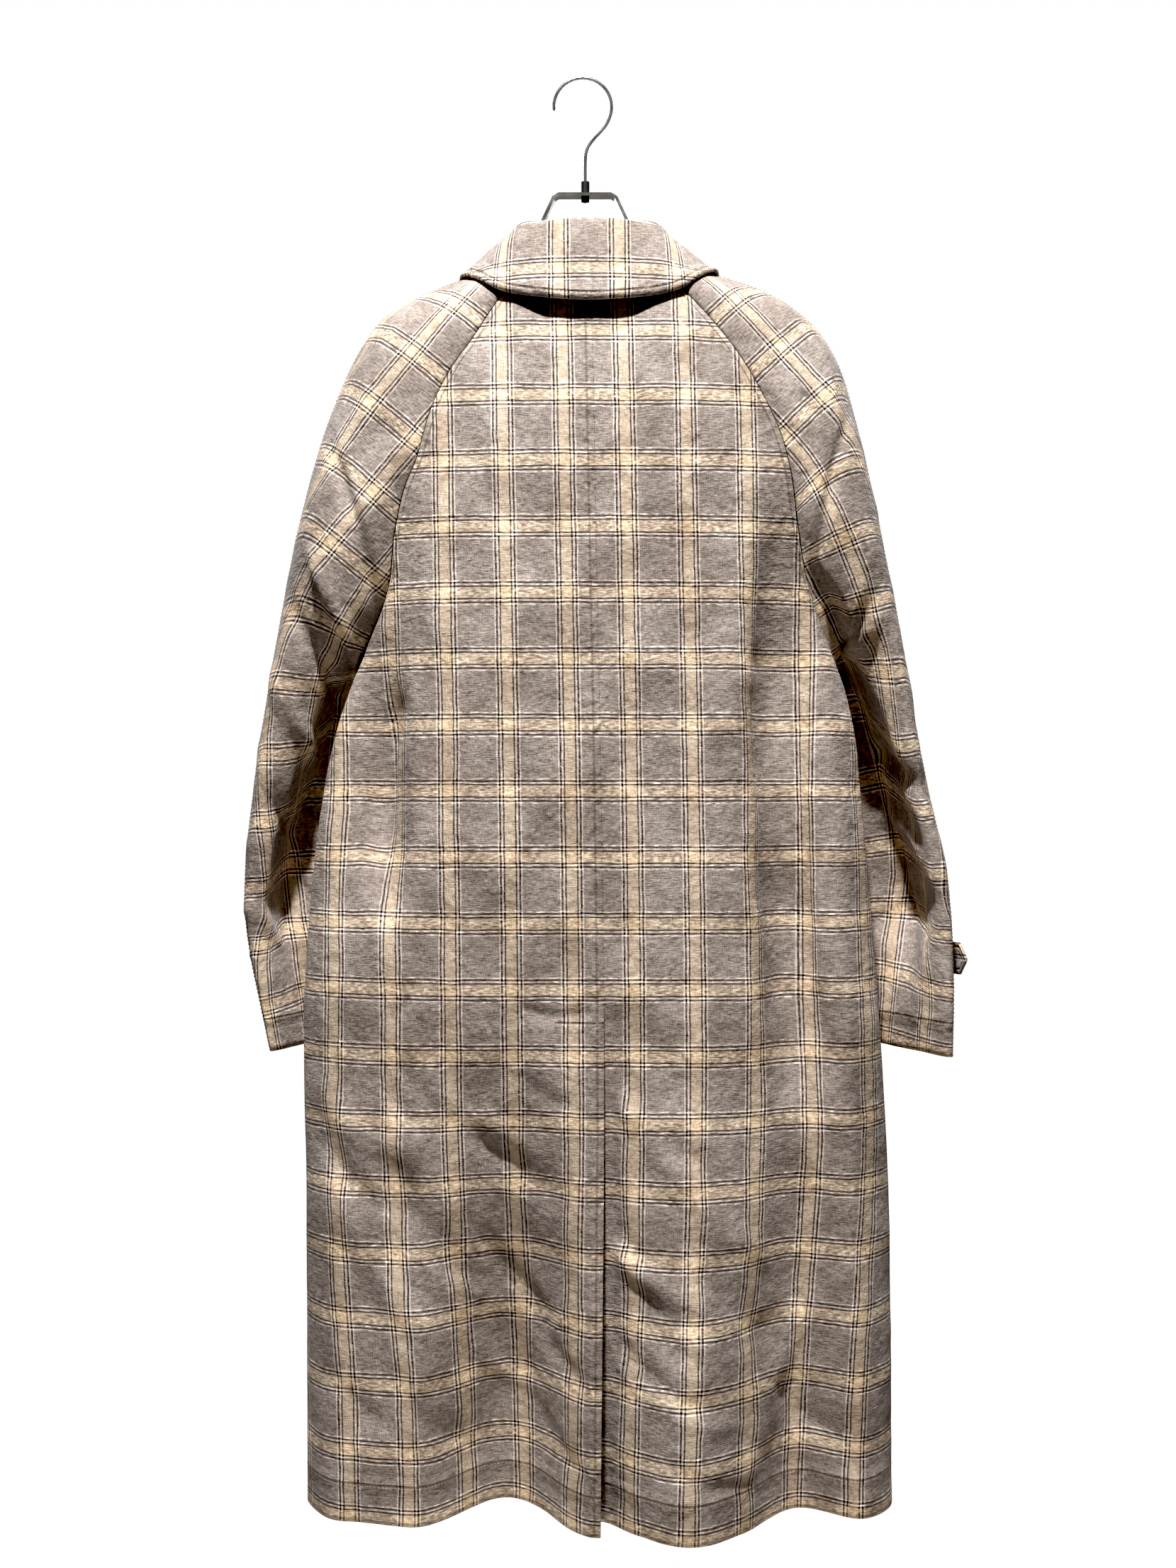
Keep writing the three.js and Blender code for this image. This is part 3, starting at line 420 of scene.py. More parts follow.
# Folds of the cloth's own relief, listed one by one: a soft trough or ridge from one point to another across
# or down a panel, with its half width and its depth, where a negative depth is a trough
CREASES = tables(
    "x0 z0 x1 z1 width depth",
    back_left=(
        (128, -905, 30, -1010, 18, -2.5),
        (150, -885, 66, -962, 15, 2.6),
        (196, -940, 100, -1082, 20, -3.6),
        (222, -1010, 140, -1130, 18, 3.0),
        (96, -1040, 34, -1120, 14, -2.4),
        (205, -660, 176, -800, 16, 2.4),
        (150, -560, 176, -760, 24, -2.2),
        (34, -690, 22, -800, 18, -1.6),
        (92, -600, 84, -742, 26, 1.8),
        (60, -905, 10, -930, 11, -1.8),
        (180, -1150, 110, -1236, 18, -2.4),
        (110, -330, 60, -420, 22, -1.4),
        (50, -846, 0, -850, 9, -2.2),
        (172, -575, 184, -710, 14, -6.0),
        (150, -430, 120, -520, 18, 1.4),
        (234, -915, 160, -975, 22, 3.4),
        (236, -968, 160, -1026, 16, -2.6),
        (172, -916, 144, -950, 9, -1.7),
        (44, -1124, -8, -1176, 12, -1.7),
        (44, -1205, -4, -1252, 12, -1.7),
        (224, -1172, 172, -1216, 15, -2.0),
        (143, -1054, 88, -1094, 12, -1.6),
        (100, -1150, 52, -1190, 12, 1.6),
    ),
    back_right=(
        (-30, -900, -116, -990, 16, -2.6),
        (-52, -945, -150, -1060, 18, 2.6),
        (-96, -1060, -190, -1150, 22, -2.1),
        (-40, -1085, -96, -1150, 15, -2.2),
        (-172, -430, -186, -860, 26, -7),
        (-212, -540, -222, -850, 17, 5),
        (-120, -520, -168, -700, 22, 2.4),
        (-60, -560, -72, -700, 24, -1.6),
        (-196, -820, -226, -960, 16, 2.4),
        (-92, -330, -124, -430, 22, -1.4),
        (-34, -930, -40, -1020, 13, 1.8),
        (-200, -1120, -150, -1240, 20, 2.4),
        (-22, -916, -76, -948, 15, 2.2),
        (-17, -1020, -54, -1064, 11, -1.8),
        (-23, -1050, -97, -1096, 15, 2.2),
        (-46, -1088, -102, -1120, 11, -1.8),
        (-23, -1134, -112, -1190, 13, -2.0),
        (-62, -1180, -140, -1204, 14, 1.9),
        (-78, -1234, -144, -1262, 12, -1.9),
        (-170, -1180, -222, -1230, 14, -1.8),
    ),
    front_left=(
        (170, -600, 110, -760, 22, -2.8),
        (130, -520, 80, -640, 20, 2.2),
        (190, -820, 140, -980, 24, -3.0),
        (60, -900, 90, -1100, 22, 2.4),
        (100, -360, 60, -470, 20, -1.8),
        (190, -1060, 150, -1220, 20, 2.6),
    ),
    front_right=(
        (-190, -610, -130, -780, 22, -2.8),
        (-150, -540, -100, -650, 20, 2.0),
        (-200, -830, -156, -1010, 24, 3.0),
        (-80, -880, -112, -1090, 22, -2.4),
        (-110, -370, -70, -480, 20, -1.8),
        (-200, -1080, -170, -1230, 20, -2.6),
    ),
)
# Creases of the sleeves, in shares of the way round (0 overarm, 1 underarm) and of the way down
SLEEVE_CREASES = tables(
    "round0 down0 round1 down1 width depth",
    sleeve_back_left=(
        (0.95, 0.50, 0.30, 0.44, 15, -3.4),
        (1.00, 0.56, 0.36, 0.53, 14, 3.0),
        (0.90, 0.63, 0.20, 0.60, 15, -3.2),
        (0.80, 0.71, 0.15, 0.67, 13, 2.6),
        (0.92, 0.80, 0.30, 0.76, 14, -2.8),
        (0.60, 0.90, 0.10, 0.86, 12, 2.0),
        (0.78, 0.30, 0.55, 0.44, 18, -2.6),
        (0.40, 0.20, 0.44, 0.36, 20, 1.8),
    ),
    sleeve_back_right=(
        (0.95, 0.48, 0.34, 0.42, 15, -3.2),
        (0.98, 0.57, 0.28, 0.60, 14, 3.0),
        (0.85, 0.70, 0.12, 0.76, 13, -3.8),
        (0.80, 0.76, 0.20, 0.83, 13, 3.0),
        (0.90, 0.86, 0.35, 0.88, 12, -2.0),
        (0.72, 0.30, 0.50, 0.42, 18, -2.4),
        (0.36, 0.22, 0.40, 0.38, 20, 1.8),
    ),
    sleeve_front_left=(
        (0.95, 0.52, 0.40, 0.47, 15, -3.4),
        (0.90, 0.60, 0.30, 0.58, 14, 3.0),
        (0.85, 0.68, 0.22, 0.70, 14, -3.2),
        (0.80, 0.78, 0.30, 0.76, 13, 2.4),
        (0.70, 0.30, 0.50, 0.46, 18, -2.6),
    ),
    sleeve_front_right=(
        (0.95, 0.50, 0.36, 0.45, 15, -3.2),
        (0.92, 0.62, 0.28, 0.60, 14, 2.8),
        (0.82, 0.70, 0.20, 0.73, 14, -3.2),
        (0.80, 0.81, 0.34, 0.79, 13, 2.4),
        (0.70, 0.32, 0.52, 0.46, 18, -2.4),
    ),
)


def smooth(value):
    """Soft step from 0 to 1."""
    t = np.clip(value, 0, 1)
    return t * t * (3 - 2 * t)


def read(rows, key, wanted, column):
    """Value of a column where another one has the wanted value, on a smooth curve through the rows."""
    places = rows[key]
    values = rows[column]
    wanted = np.asarray(wanted, float)
    if places[-1] < places[0]:
        places = -places
        wanted = -wanted
    wanted = np.clip(wanted, places[0], places[-1])
    high = np.clip(np.searchsorted(places, wanted), 1, len(places) - 1)
    slopes = np.empty(len(places))
    slopes[1:-1] = (values[2:] - values[:-2]) / (places[2:] - places[:-2])
    slopes[0] = (values[1] - values[0]) / (places[1] - places[0])
    slopes[-1] = (values[-1] - values[-2]) / (places[-1] - places[-2])
    span = places[high] - places[high - 1]
    t = (wanted - places[high - 1]) / span
    t2 = t * t
    t3 = t2 * t
    return ((2 * t3 - 3 * t2 + 1) * values[high - 1] + (t3 - 2 * t2 + t) * slopes[high - 1] * span
            + (3 * t2 - 2 * t3) * values[high] + (t3 - t2) * slopes[high] * span)


def numbered(rows):
    """The same table with its rows numbered, to be read between the rows."""
    count = len(next(iter(rows.values())))
    return {**rows, "number": np.arange(count, dtype=float)}


def unit(vectors):
    return vectors / np.linalg.norm(vectors, axis=-1, keepdims=True)


def fold_depth(panel, x, z):
    """How far the panel's folds stand out at a point."""
    total = np.zeros(np.broadcast(x, z).shape)
    for place, lean, width, depth, start, full, fade, end in zip(*FOLDS[panel].values()):
        off = (x - place - lean * (start - z)) / width
        shape = np.where(np.abs(off) < 1, (1 + np.cos(np.pi * off)) / 2, 0)
        grown = smooth((start - z) / (start - full))
        left = 1 - smooth((fade - z) / (fade - end))
        total += depth * shape * grown * left
    return total


def vent_opening(z):
    """How far the under layers of the vent lie behind the upper one."""
    fade = smooth((VENT_TOP_Z + VENT_SEAM_FADE - z) / VENT_SEAM_FADE)
    down = np.maximum(0, (VENT_TOP_Z - z) / (VENT_TOP_Z - HEM_Z))
    return fade * (VENT_OPEN_TOP + (VENT_OPEN_HEM - VENT_OPEN_TOP) * down)


def centre_x(z):
    return read(CENTRE_LINE, "z", z, "x")


def raglan_line(value, side, face):
    """Places of the raglan seam beside a panel, at rows of the raglan table."""
    if face == "back":
        return value[f"{side}_x"], value["y"], value[f"{side}_z"]
    x = value["front_x"] if side == "left" else value["right_x"] + value["left_x"] - value["front_x"]
    return x, -value["y"] - value["drop"] * FRONT_DROP_SHARE, value[f"{side}_z"] - value["drop"]


def body_rows(side, face):
    """Rows of a body panel from the neck to the hem, as arrays of their driving values."""
    upper = numbered(RAGLAN)
    fine = np.linspace(0, ARMPIT_ROW, UPPER_STEPS + 1)
    value = {name: read(upper, "number", fine, name) for name in RAGLAN}
    seam_x, seam_y, seam_z = raglan_line(value, side, face)
    lower = np.linspace(UNDERARM_Z, HEM_Z, int(round((UNDERARM_Z - HEM_Z) / ROW_STEP)) + 1)[1:]
    still = np.zeros(len(lower))
    return {
        "centre_z": np.concatenate([value[f"centre_{face}"], lower]),
        "side_x": np.concatenate([seam_x, read(SECTIONS, "z", lower, side)]),
        "side_y": np.concatenate([seam_y, still]),
        "side_z": np.concatenate([seam_z, lower]),
        "depth": np.concatenate([value[face], read(SECTIONS, "z", lower, face)]),
        "bend": np.concatenate([value["bend"], still + LOWER_BEND]),
    }


def body_points(side, face, rows, x):
    """Points of a body panel's outside. rows are columns of values, and x has a row for each."""
    row = {name: values[:, None] for name, values in rows.items()}
    centre = centre_x(row["centre_z"])
    share = np.minimum(1, np.abs(x - centre) / np.abs(row["side_x"] - centre))
    z = row["centre_z"] + (row["side_z"] - row["centre_z"]) * share ** 2
    curve = np.maximum(0, 1 - share ** ROUNDNESS) ** row["bend"]
    fold = fold_depth(f"{face}_{side}", x, z) * (1 - share ** 6)
    y = row["side_y"] + (row["depth"] - row["side_y"]) * curve + OUTWARD[face] * fold
    if face == "back" and side == "right":
        y = y - vent_opening(z) * (1 - smooth(np.abs(x - centre) / VENT_FADE))
    if face == "front" and side == "right":
        past = np.maximum(0, centre - FRONT_LAP - x) / FRONT_FADE
        y = y + LAP_DROP * (1 - smooth(past))
    return np.stack([x, y, z], axis=-1)


def run_along(points, axis):
    """Distance along a grid's rows (axis 1) or columns (axis 0), from its first line."""
    steps = np.linalg.norm(np.diff(points, axis=axis), axis=2)
    first = np.zeros((1, points.shape[1])) if axis == 0 else np.zeros((points.shape[0], 1))
    return np.concatenate([first, np.cumsum(steps, axis=axis)], axis=axis)


def line_run(line):
    """Distance along a line, from its first point."""
    return run_along(line[None], 1)[0]


def between(places, run, values):
    """Points at places along a line, read between its own, which lie at the distances in run."""
    return np.stack([np.interp(places, run, values[:, axis]) for axis in range(3)], axis=-1)


def spread(points, step):
    """Each row of points laid out again: close steps at its two ends, even steps between."""
    run = run_along(points, 1)
    length = run[:, -1]
    count = max(4, int(round(np.median(length) / step)))
    edge = np.array(EDGE_STEPS)
    result = np.empty((len(points), count + 2 * len(edge) - 1, 3))
    for i, row in enumerate(points):
        reach = min(edge[-1], length[i] * EDGE_SHARE)
        ends = edge * reach / edge[-1]
        middle = np.linspace(reach, length[i] - reach, count + 1)[1:-1]
        places = np.concatenate([ends, middle, length[i] - ends[::-1]])
        result[i] = between(places, run[i], row)
    return result


def normals_of(points, away):
    """Unit normals of a grid of points. away is 1 or -1, to turn them out of the coat."""
    down = np.gradient(points, axis=0)
    along = np.gradient(points, axis=1)
    normals = np.cross(down, along) * away
    return normals / np.maximum(np.linalg.norm(normals, axis=2, keepdims=True), 1e-9)


def crease_relief(creases, across, down):
    """Height of the creases over a grid. The distance is measured to each crease's own line."""
    total = np.zeros(across.shape)
    for across0, down0, across1, down1, width, depth in zip(*creases.values()):
        run = np.array([across1 - across0, down1 - down0])
        length = np.hypot(*run)
        along = ((across - across0) * run[0] + (down - down0) * run[1]) / length
        aside = ((across - across0) * run[1] - (down - down0) * run[0]) / length
        bow = aside + width * CREASE_BOW * np.sin(np.pi * np.clip(along / length, 0, 1))
        ends = smooth(0.5 + along / (0.5 * length)) * smooth(0.5 + (length - along) / (0.5 * length))
        total += depth * np.exp(-(bow / width) ** 2 * 2) * ends
    return total


def slack(cloth, seed):
    """Faint unevenness of cloth that has been worn, from broad waves and short ones."""
    across, down = cloth[:, :, 0], cloth[:, :, 1]
    random = np.random.default_rng(seed)
    total = np.zeros(across.shape)
    for _ in range(WAVES):
        length = random.uniform(*WAVE_LENGTH)
        turn = random.uniform(-WAVE_TURN, WAVE_TURN)
        phase = random.uniform(0, 2 * np.pi)
        height = random.uniform(*WAVE_HEIGHT)
        place = across * np.cos(turn) + down * np.sin(turn)
        total += height * np.sin(2 * np.pi * place / length + phase)
    for _ in range(RUMPLES):
        length = random.uniform(*RUMPLE_LENGTH)
        turn = random.uniform(-RUMPLE_TURN, RUMPLE_TURN)
        phase, beside_phase = random.uniform(0, 2 * np.pi, 2)
        height = random.uniform(*RUMPLE_HEIGHT) * length / RUMPLE_SCALE
        place = across * np.cos(turn) + down * np.sin(turn)
        beside = across * np.sin(turn) - down * np.cos(turn)
        fade = 0.5 + 0.5 * np.sin(2 * np.pi * beside / (length * 4) + beside_phase)
        total += height * fade * np.sin(2 * np.pi * place / length + phase)
    return total


def body_surface(side, face):
    rows = body_rows(side, face)
    start = centre_x(rows["centre_z"])
    if face == "front":
        start = start - SIDES[side] * FRONT_LAP
    even = np.linspace(0, 1, SIDE_SAMPLES)
    share = (1 - SIDE_CLOSENESS) * even + SIDE_CLOSENESS * np.sin(even * np.pi / 2)
    x = start[:, None] + (rows["side_x"] - start)[:, None] * share
    return spread(body_points(side, face, rows, x), COLUMN_STEP)


def sleeve_rows(side, face):
    """Stations of a sleeve half from the neck to the cuff, whose first inner places are the raglan seam."""
    stations = numbered(SLEEVES[side])
    for name, seam in zip(("in_x", "in_y", "in_z"), raglan_line(RAGLAN, side, face)):
        stations[name] = np.concatenate([seam, stations[name][len(seam):]])
    return stations


def sleeve_surface(side, face):
    """Points of a sleeve half: each row is a curve from the overarm line to the underarm one."""
    stations = sleeve_rows(side, face)
    fine = np.concatenate([
        np.linspace(0, ARMPIT_ROW, UPPER_STEPS + 1),
        np.linspace(ARMPIT_ROW, stations["number"][-1], SLEEVE_LOWER_ROWS)[1:],
    ])
    seam = body_rows(side, face)
    value = {name: read(stations, "number", fine, name) for name in SLEEVES[side]}
    outer = np.stack([value["out_x"], value["out_y"], value["out_z"]], axis=-1)
    inner = np.stack([value["in_x"], value["in_y"], value["in_z"]], axis=-1)
    for axis, name in enumerate(("side_x", "side_y", "side_z")):
        inner[:UPPER_STEPS + 1, axis] = seam[name][:UPPER_STEPS + 1]
    near_outer = outer + (inner - outer) * NEAR_OUTER
    near_outer[:, 1] = outer[:, 1] + OUTWARD[face] * value[f"{face}_out"]
    near_inner = inner + (outer - inner) * value["tuck"][:, None]
    near_inner[:, 1] = inner[:, 1] + OUTWARD[face] * value[f"{face}_in"]
    t = np.linspace(0, 1, CURVE_SAMPLES)[None, :, None]
    points = ((1 - t) ** 3 * outer[:, None] + 3 * t * (1 - t) ** 2 * near_outer[:, None]
              + 3 * t ** 2 * (1 - t) * near_inner[:, None] + t ** 3 * inner[:, None])
    if face == "back":
        z = points[:, :, 2]
        past_edge = read(HOLLOWS[side], "z", z, "edge") - np.abs(points[:, :, 0])
        inside = smooth(past_edge / HOLLOW_WALL + 0.5)
        share = np.clip(read(HOLLOWS[side], "z", z, "share"), 0, 1) * inside
        points[:, :, 1] += (inner[:, None, 1] - points[:, :, 1]) * share
    return spread(points, COLUMN_STEP)


def vent_surface():
    rows = body_rows("left", "back")
    low = rows["centre_z"] <= VENT_TOP_Z
    rows = {name: values[low] for name, values in rows.items()}
    start = centre_x(rows["centre_z"])
    x = start[:, None] + np.linspace(0, VENT_WIDTH, VENT_SAMPLES)
    points = body_points("left", "back", rows, x)
    points[:, :, 1] -= vent_opening(points[:, :, 2])
    return spread(points, COLUMN_STEP)


def body_cloth(side, face, points):
    """Flat cloth coordinates of a body panel: across from the centre line, and down it. The cut
    widens with the folds towards the hem, so its bands hang nearly upright."""
    level = np.abs(points[:, :, 0] - points[:, :1, 0])
    across = level + (run_along(points, 1) - level) * FOLD_GRAIN
    if face == "front":
        across = across - FRONT_LAP
    down = line_run(points[:, 0])[:, None] + (points[:, :1, 2] - points[:, :, 2])
    return np.stack([SIDES[side] * across - BACK_PHASE, points[0, 0, 2] - down - BAND_Z], axis=-1)


def sleeve_cloth(side, points):
    """Flat cloth coordinates of a sleeve half, laid out from its middle line. The grain leans as the
    sleeve turns, and the plaid is set so that its bands pass through the places given for them."""
    sign = SIDES[side]
    outer = points[:, 0]
    column = points.shape[1] // 2
    middle = points[:, column][:, [0, 2]]
    lean = np.radians(read(GRAIN[side], "z", outer[:, 2], "lean"))
    along = np.stack([sign * np.sin(lean), -np.cos(lean)], axis=-1)
    aside = np.stack([sign * np.cos(lean), np.sin(lean)], axis=-1)
    chord = unit(outer[:, [0, 2]] - points[:, -1][:, [0, 2]])
    steps = np.diff(middle, axis=0)
    run = run_along(points, 1)
    away = run[:, column:column + 1] - run
    result = []
    for kind, way in (("across", aside), ("along", -along)):
        start = np.concatenate([[0], np.cumsum(np.sum(steps * (way[1:] + way[:-1]) / 2, axis=1))])
        value = start[:, None] + away * np.sum(chord * way, axis=1)[:, None]
        x, z = SLEEVE_BANDS[side][kind]
        nearest = np.argmin((points[:, :, 0] - x) ** 2 + (points[:, :, 2] - z) ** 2)
        result.append(value - value.flat[nearest])
    return np.stack(result, axis=-1)


def add_object(name, data):
    made = bpy.data.objects.new(name, data)
    bpy.context.collection.objects.link(made)
    return made


def add_mesh(name, points, faces, materials):
    """A smooth mesh from points in millimetres, with its object."""
    mesh = bpy.data.meshes.new(name)
    mesh.from_pydata((points * MM).tolist(), [], faces)
    for material in materials:
        mesh.materials.append(material)
    mesh.polygons.foreach_set("use_smooth", np.ones(len(faces), dtype=bool))
    return add_object(name, mesh)


def shell_mesh(name, outer, normals, maps, wall, materials):
    """A closed thin shell from a grid of outer points: the outside, the inside and the cut edge.
    maps gives the shader flat coordinates by name."""
    rows, columns = outer.shape[:2]
    inner = outer - normals * wall
    at = np.arange(rows * columns).reshape(rows, columns)
    quads = np.stack([at[:-1, :-1], at[1:, :-1], at[1:, 1:], at[:-1, 1:]], axis=-1).reshape(-1, 4)
    back = quads[:, ::-1] + rows * columns
    ring = np.concatenate([at[:-1, 0], at[-1, :-1], at[:0:-1, -1], at[0, :0:-1]])
    after = np.roll(ring, -1)
    edge = np.stack([after, ring, ring + rows * columns, after + rows * columns], axis=-1)
    faces = np.concatenate([quads, back, edge])
    i, k = rows // 2, columns // 2
    facing = np.cross(outer[i + 1, k] - outer[i, k], outer[i, k + 1] - outer[i, k])
    if np.dot(facing, normals[i, k]) < 0:
        faces = faces[:, ::-1]
    points = np.concatenate([outer.reshape(-1, 3), inner.reshape(-1, 3)])
    piece = add_mesh(f"{name}_cloth", points, faces.tolist(), materials)
    mesh = piece.data
    loops = np.empty(len(mesh.loops), dtype=np.int32)
    mesh.loops.foreach_get("vertex_index", loops)
    for map_name, flat in maps.items():
        flat = np.concatenate([flat.reshape(-1, 2), flat.reshape(-1, 2)]) * MM
        layer = mesh.uv_layers.new(name=map_name)
        layer.data.foreach_set("uv", flat[loops].astype(np.float32).ravel())
    slots = np.zeros(len(faces), dtype=np.int32)
    slots[len(quads):2 * len(quads)] = len(materials) - 1
    mesh.polygons.foreach_set("material_index", slots)
    mesh.update()
    return piece


def edge_distances(points):
    across = run_along(points, 1)
    down = run_along(points, 0)
    return {
        "first": across,
        "last": across[:, -1:] - across,
        "top": down,
        "bottom": down[-1:] - down,
    }


def lone_stitch(distance):
    """Signed distances from one stitched line."""
    return np.stack([distance, np.full(distance.shape, NO_STITCH)], axis=-1)


def stitch_map(points, edges, hem):
    """Signed distances from the stitched lines: those along the side edges, and that along the hem."""
    distance = edge_distances(points)
    aside = np.full(points.shape[:2], NO_STITCH)
    for edge, inset in edges.items():
        aside = np.minimum(aside, distance[edge] - inset)
    return np.stack([aside, distance["bottom"] - hem], axis=-1)


def seam_sink(points, edges):
    """How far the outside turns in along the seams at the named edges of a panel."""
    sink = np.zeros(points.shape[:2])
    distance = edge_distances(points)
    for edge in edges:
        near = np.clip(1 - distance[edge] / SEAM_ROLL, 0, 1)
        sink = np.maximum(sink, SEAM_SINK * near ** 2)
    return sink


def add_node(tree, kind, values=None, **settings):
    """A shader node. values gives an input's number, or the socket that feeds it."""
    made = tree.nodes.new(kind)
    for name, value in settings.items():
        setattr(made, name, value)
    for place, value in (values or {}).items():
        if isinstance(value, bpy.types.NodeSocket):
            tree.links.new(value, made.inputs[place])
        else:
            made.inputs[place].default_value = value
    return made


def calc(tree, operation, a, b=0.0, clamp=False):
    return add_node(tree, "ShaderNodeMath", {0: a, 1: b}, operation=operation, use_clamp=clamp).outputs[0]


def mixed(tree, share, a, b, blend="MIX"):
    made = add_node(tree, "ShaderNodeMix", {0: share, 6: a, 7: b}, data_type="RGBA", blend_type=blend)
    return made.outputs[2]


def noise(tree, place, scale, detail, roughness=0.5):
    values = {"Vector": place, "Scale": scale, "Detail": detail, "Roughness": roughness}
    return add_node(tree, "ShaderNodeTexNoise", values)


def map_parts(tree, name):
    """The two numbers of a flat map at a place."""
    place = add_node(tree, "ShaderNodeUVMap", uv_map=name).outputs[0]
    parts = add_node(tree, "ShaderNodeSeparateXYZ", {0: place})
    return parts.outputs[0], parts.outputs[1]


def linear(red, green, blue):
    """A colour given in 0 to 255, as the shader wants it."""
    def one(value):
        value /= 255
        return value / 12.92 if value <= 0.04045 else ((value + 0.055) / 1.055) ** 2.4
    return (one(red), one(green), one(blue), 1.0)


def ramp(tree, factor, stops, constant=False):
    made = add_node(tree, "ShaderNodeValToRGB", {0: factor})
    band = made.color_ramp
    band.interpolation = "CONSTANT" if constant else "LINEAR"
    while len(band.elements) > 1:
        band.elements.remove(band.elements[-1])
    band.elements[0].position = stops[0][0]
    band.elements[0].color = stops[0][1]
    for position, color in stops[1:]:
        band.elements.new(position).color = color
    return made.outputs[0]


def new_material(name):
    material = bpy.data.materials.new(name)
    material.use_nodes = True
    tree = material.node_tree
    return material, tree, tree.nodes["Principled BSDF"]


def yarn_color(tree, place, repeat, yarns):
    """Colour of the yarn at a place across the cloth, where bands lie at whole repeats."""
    half = repeat / 2
    distance = calc(tree, "PINGPONG", place, half * MM)
    share = calc(tree, "DIVIDE", distance, half * MM)
    stops = []
    start = 0.0
    for reach, color in yarns:
        stops.append((start / half, color))
        start = reach
    return ramp(tree, share, stops, constant=True)


def streaks(tree, place, turn, scale):
    """Noise drawn out one way over the cloth, as in its thick and thin yarns."""
    turned = add_node(tree, "ShaderNodeMapping", {0: place, 2: (0.0, 0.0, turn), 3: scale})
    return noise(tree, turned.outputs[0], 1.0, 2.0).outputs[0]


def near_zero(tree, distance, reach):
    """1 where a signed distance is 0, and 0 from reach outwards."""
    away = calc(tree, "DIVIDE", calc(tree, "ABSOLUTE", distance), reach * MM)
    return calc(tree, "SUBTRACT", 1.0, away, clamp=True)


def stitch_relief(tree, cloth):
    """The groove that the stitches pull, and the small puckers beside it."""
    aside, up = map_parts(tree, "seams")
    over_vent, within = map_parts(tree, "marks")
    within = calc(tree, "GREATER_THAN", within, 0.0)
    depths = []
    for reach in (GROOVE, PUCKER_REACH):
        edges = calc(tree, "MAXIMUM", near_zero(tree, aside, reach), near_zero(tree, up, reach))
        closing = calc(tree, "MULTIPLY", near_zero(tree, over_vent, reach), within)
        depths.append(calc(tree, "MAXIMUM", edges, closing))
    groove, beside = depths
    ripple = noise(tree, cloth, RIPPLE_SCALE, 1.0).outputs[0]
    return groove, calc(tree, "MULTIPLY", calc(tree, "MULTIPLY", beside, ripple), PUCKER_RELIEF)


def plaid_material(name):
    """Woven check in a twill of grey, cream, dark and white yarns, a little uneven as handspun is."""
    material, tree, shader = new_material(name)
    cloth = add_node(tree, "ShaderNodeUVMap", uv_map="cloth").outputs[0]
    wobble = noise(tree, cloth, WOBBLE_SCALE, 2.0)
    shift = add_node(tree, "ShaderNodeVectorMath", {0: wobble.outputs["Color"], 1: (0.5, 0.5, 0.5)},
                     operation="SUBTRACT")
    shift = add_node(tree, "ShaderNodeVectorMath", {0: shift.outputs[0], "Scale": WOBBLE * MM},
                     operation="SCALE")
    woven = add_node(tree, "ShaderNodeVectorMath", {0: cloth, 1: shift.outputs[0]}, operation="ADD")
    parts = add_node(tree, "ShaderNodeSeparateXYZ", {0: woven.outputs[0]})
    across, along = parts.outputs[0], parts.outputs[1]
    warp = yarn_color(tree, across, BAND_ACROSS, YARNS["across"])
    weft = yarn_color(tree, along, BAND_ALONG, YARNS["along"])
    diagonal = calc(tree, "ADD", across, along)
    ridge = calc(tree, "SINE", calc(tree, "MULTIPLY", diagonal, 2 * math.pi / (TWILL * MM)))
    twill = streaks(tree, cloth, math.pi / 4, TWILL_STREAKS)
    uneven = calc(tree, "MULTIPLY", calc(tree, "SUBTRACT", twill, 0.5), UNEVEN_TWILL)
    over = calc(tree, "ADD", calc(tree, "MULTIPLY", ridge, TWILL_SHARE), 0.5)
    over = calc(tree, "ADD", over, uneven, clamp=True)
    yarn = mixed(tree, over, warp, weft)
    warp_slub = streaks(tree, cloth, 0.0, WARP_STREAKS)
    weft_slub = streaks(tree, cloth, 0.0, WEFT_STREAKS)
    slub = calc(tree, "ADD", warp_slub, weft_slub)
    fleck = calc(tree, "MULTIPLY", slub, SLUB_TONE)
    fleck = calc(tree, "ADD", fleck, calc(tree, "MULTIPLY", twill, TWILL_TONE))
    tone = ramp(tree, fleck, FLECK_TONES)
    squared = add_node(tree, "ShaderNodeGamma", {0: yarn, 1: 2.0}).outputs[0]
    heathered = mixed(tree, 1.0, squared, tone, "MULTIPLY")
    worn = ramp(tree, noise(tree, cloth, WORN_SCALE, 7.0, roughness=0.82).outputs[0], WORN_TONES)
    color = mixed(tree, 1.0, heathered, worn, "MULTIPLY")
    groove, pucker = stitch_relief(tree, cloth)
    # Painted shade: the colour is darkened inside the stitches' grooves, beside the grooves' real relief in
    # the bump
    shade = ramp(tree, groove, PAINTED_GROOVE_SHADE)
    color = mixed(tree, 1.0, color, shade, "MULTIPLY")
    tree.links.new(color, shader.inputs["Base Color"])
    crinkle = noise(tree, cloth, CRINKLE_SCALE, 4.0).outputs[0]
    height = calc(tree, "ADD", crinkle, calc(tree, "MULTIPLY", slub, SLUB_RELIEF))
    height = calc(tree, "ADD", height, pucker)
    height = calc(tree, "SUBTRACT", height, calc(tree, "MULTIPLY", groove, GROOVE_RELIEF))
    bump = add_node(tree, "ShaderNodeBump",
                    {"Strength": 0.8, "Distance": PLAID_RELIEF * MM, "Height": height})
    tree.links.new(bump.outputs[0], shader.inputs["Normal"])
    shader.inputs["Roughness"].default_value = 0.92
    shader.inputs["Specular IOR Level"].default_value = 0.2
    shader.inputs["Sheen Weight"].default_value = 0.12
    shader.inputs["Sheen Roughness"].default_value = 0.5
    return material


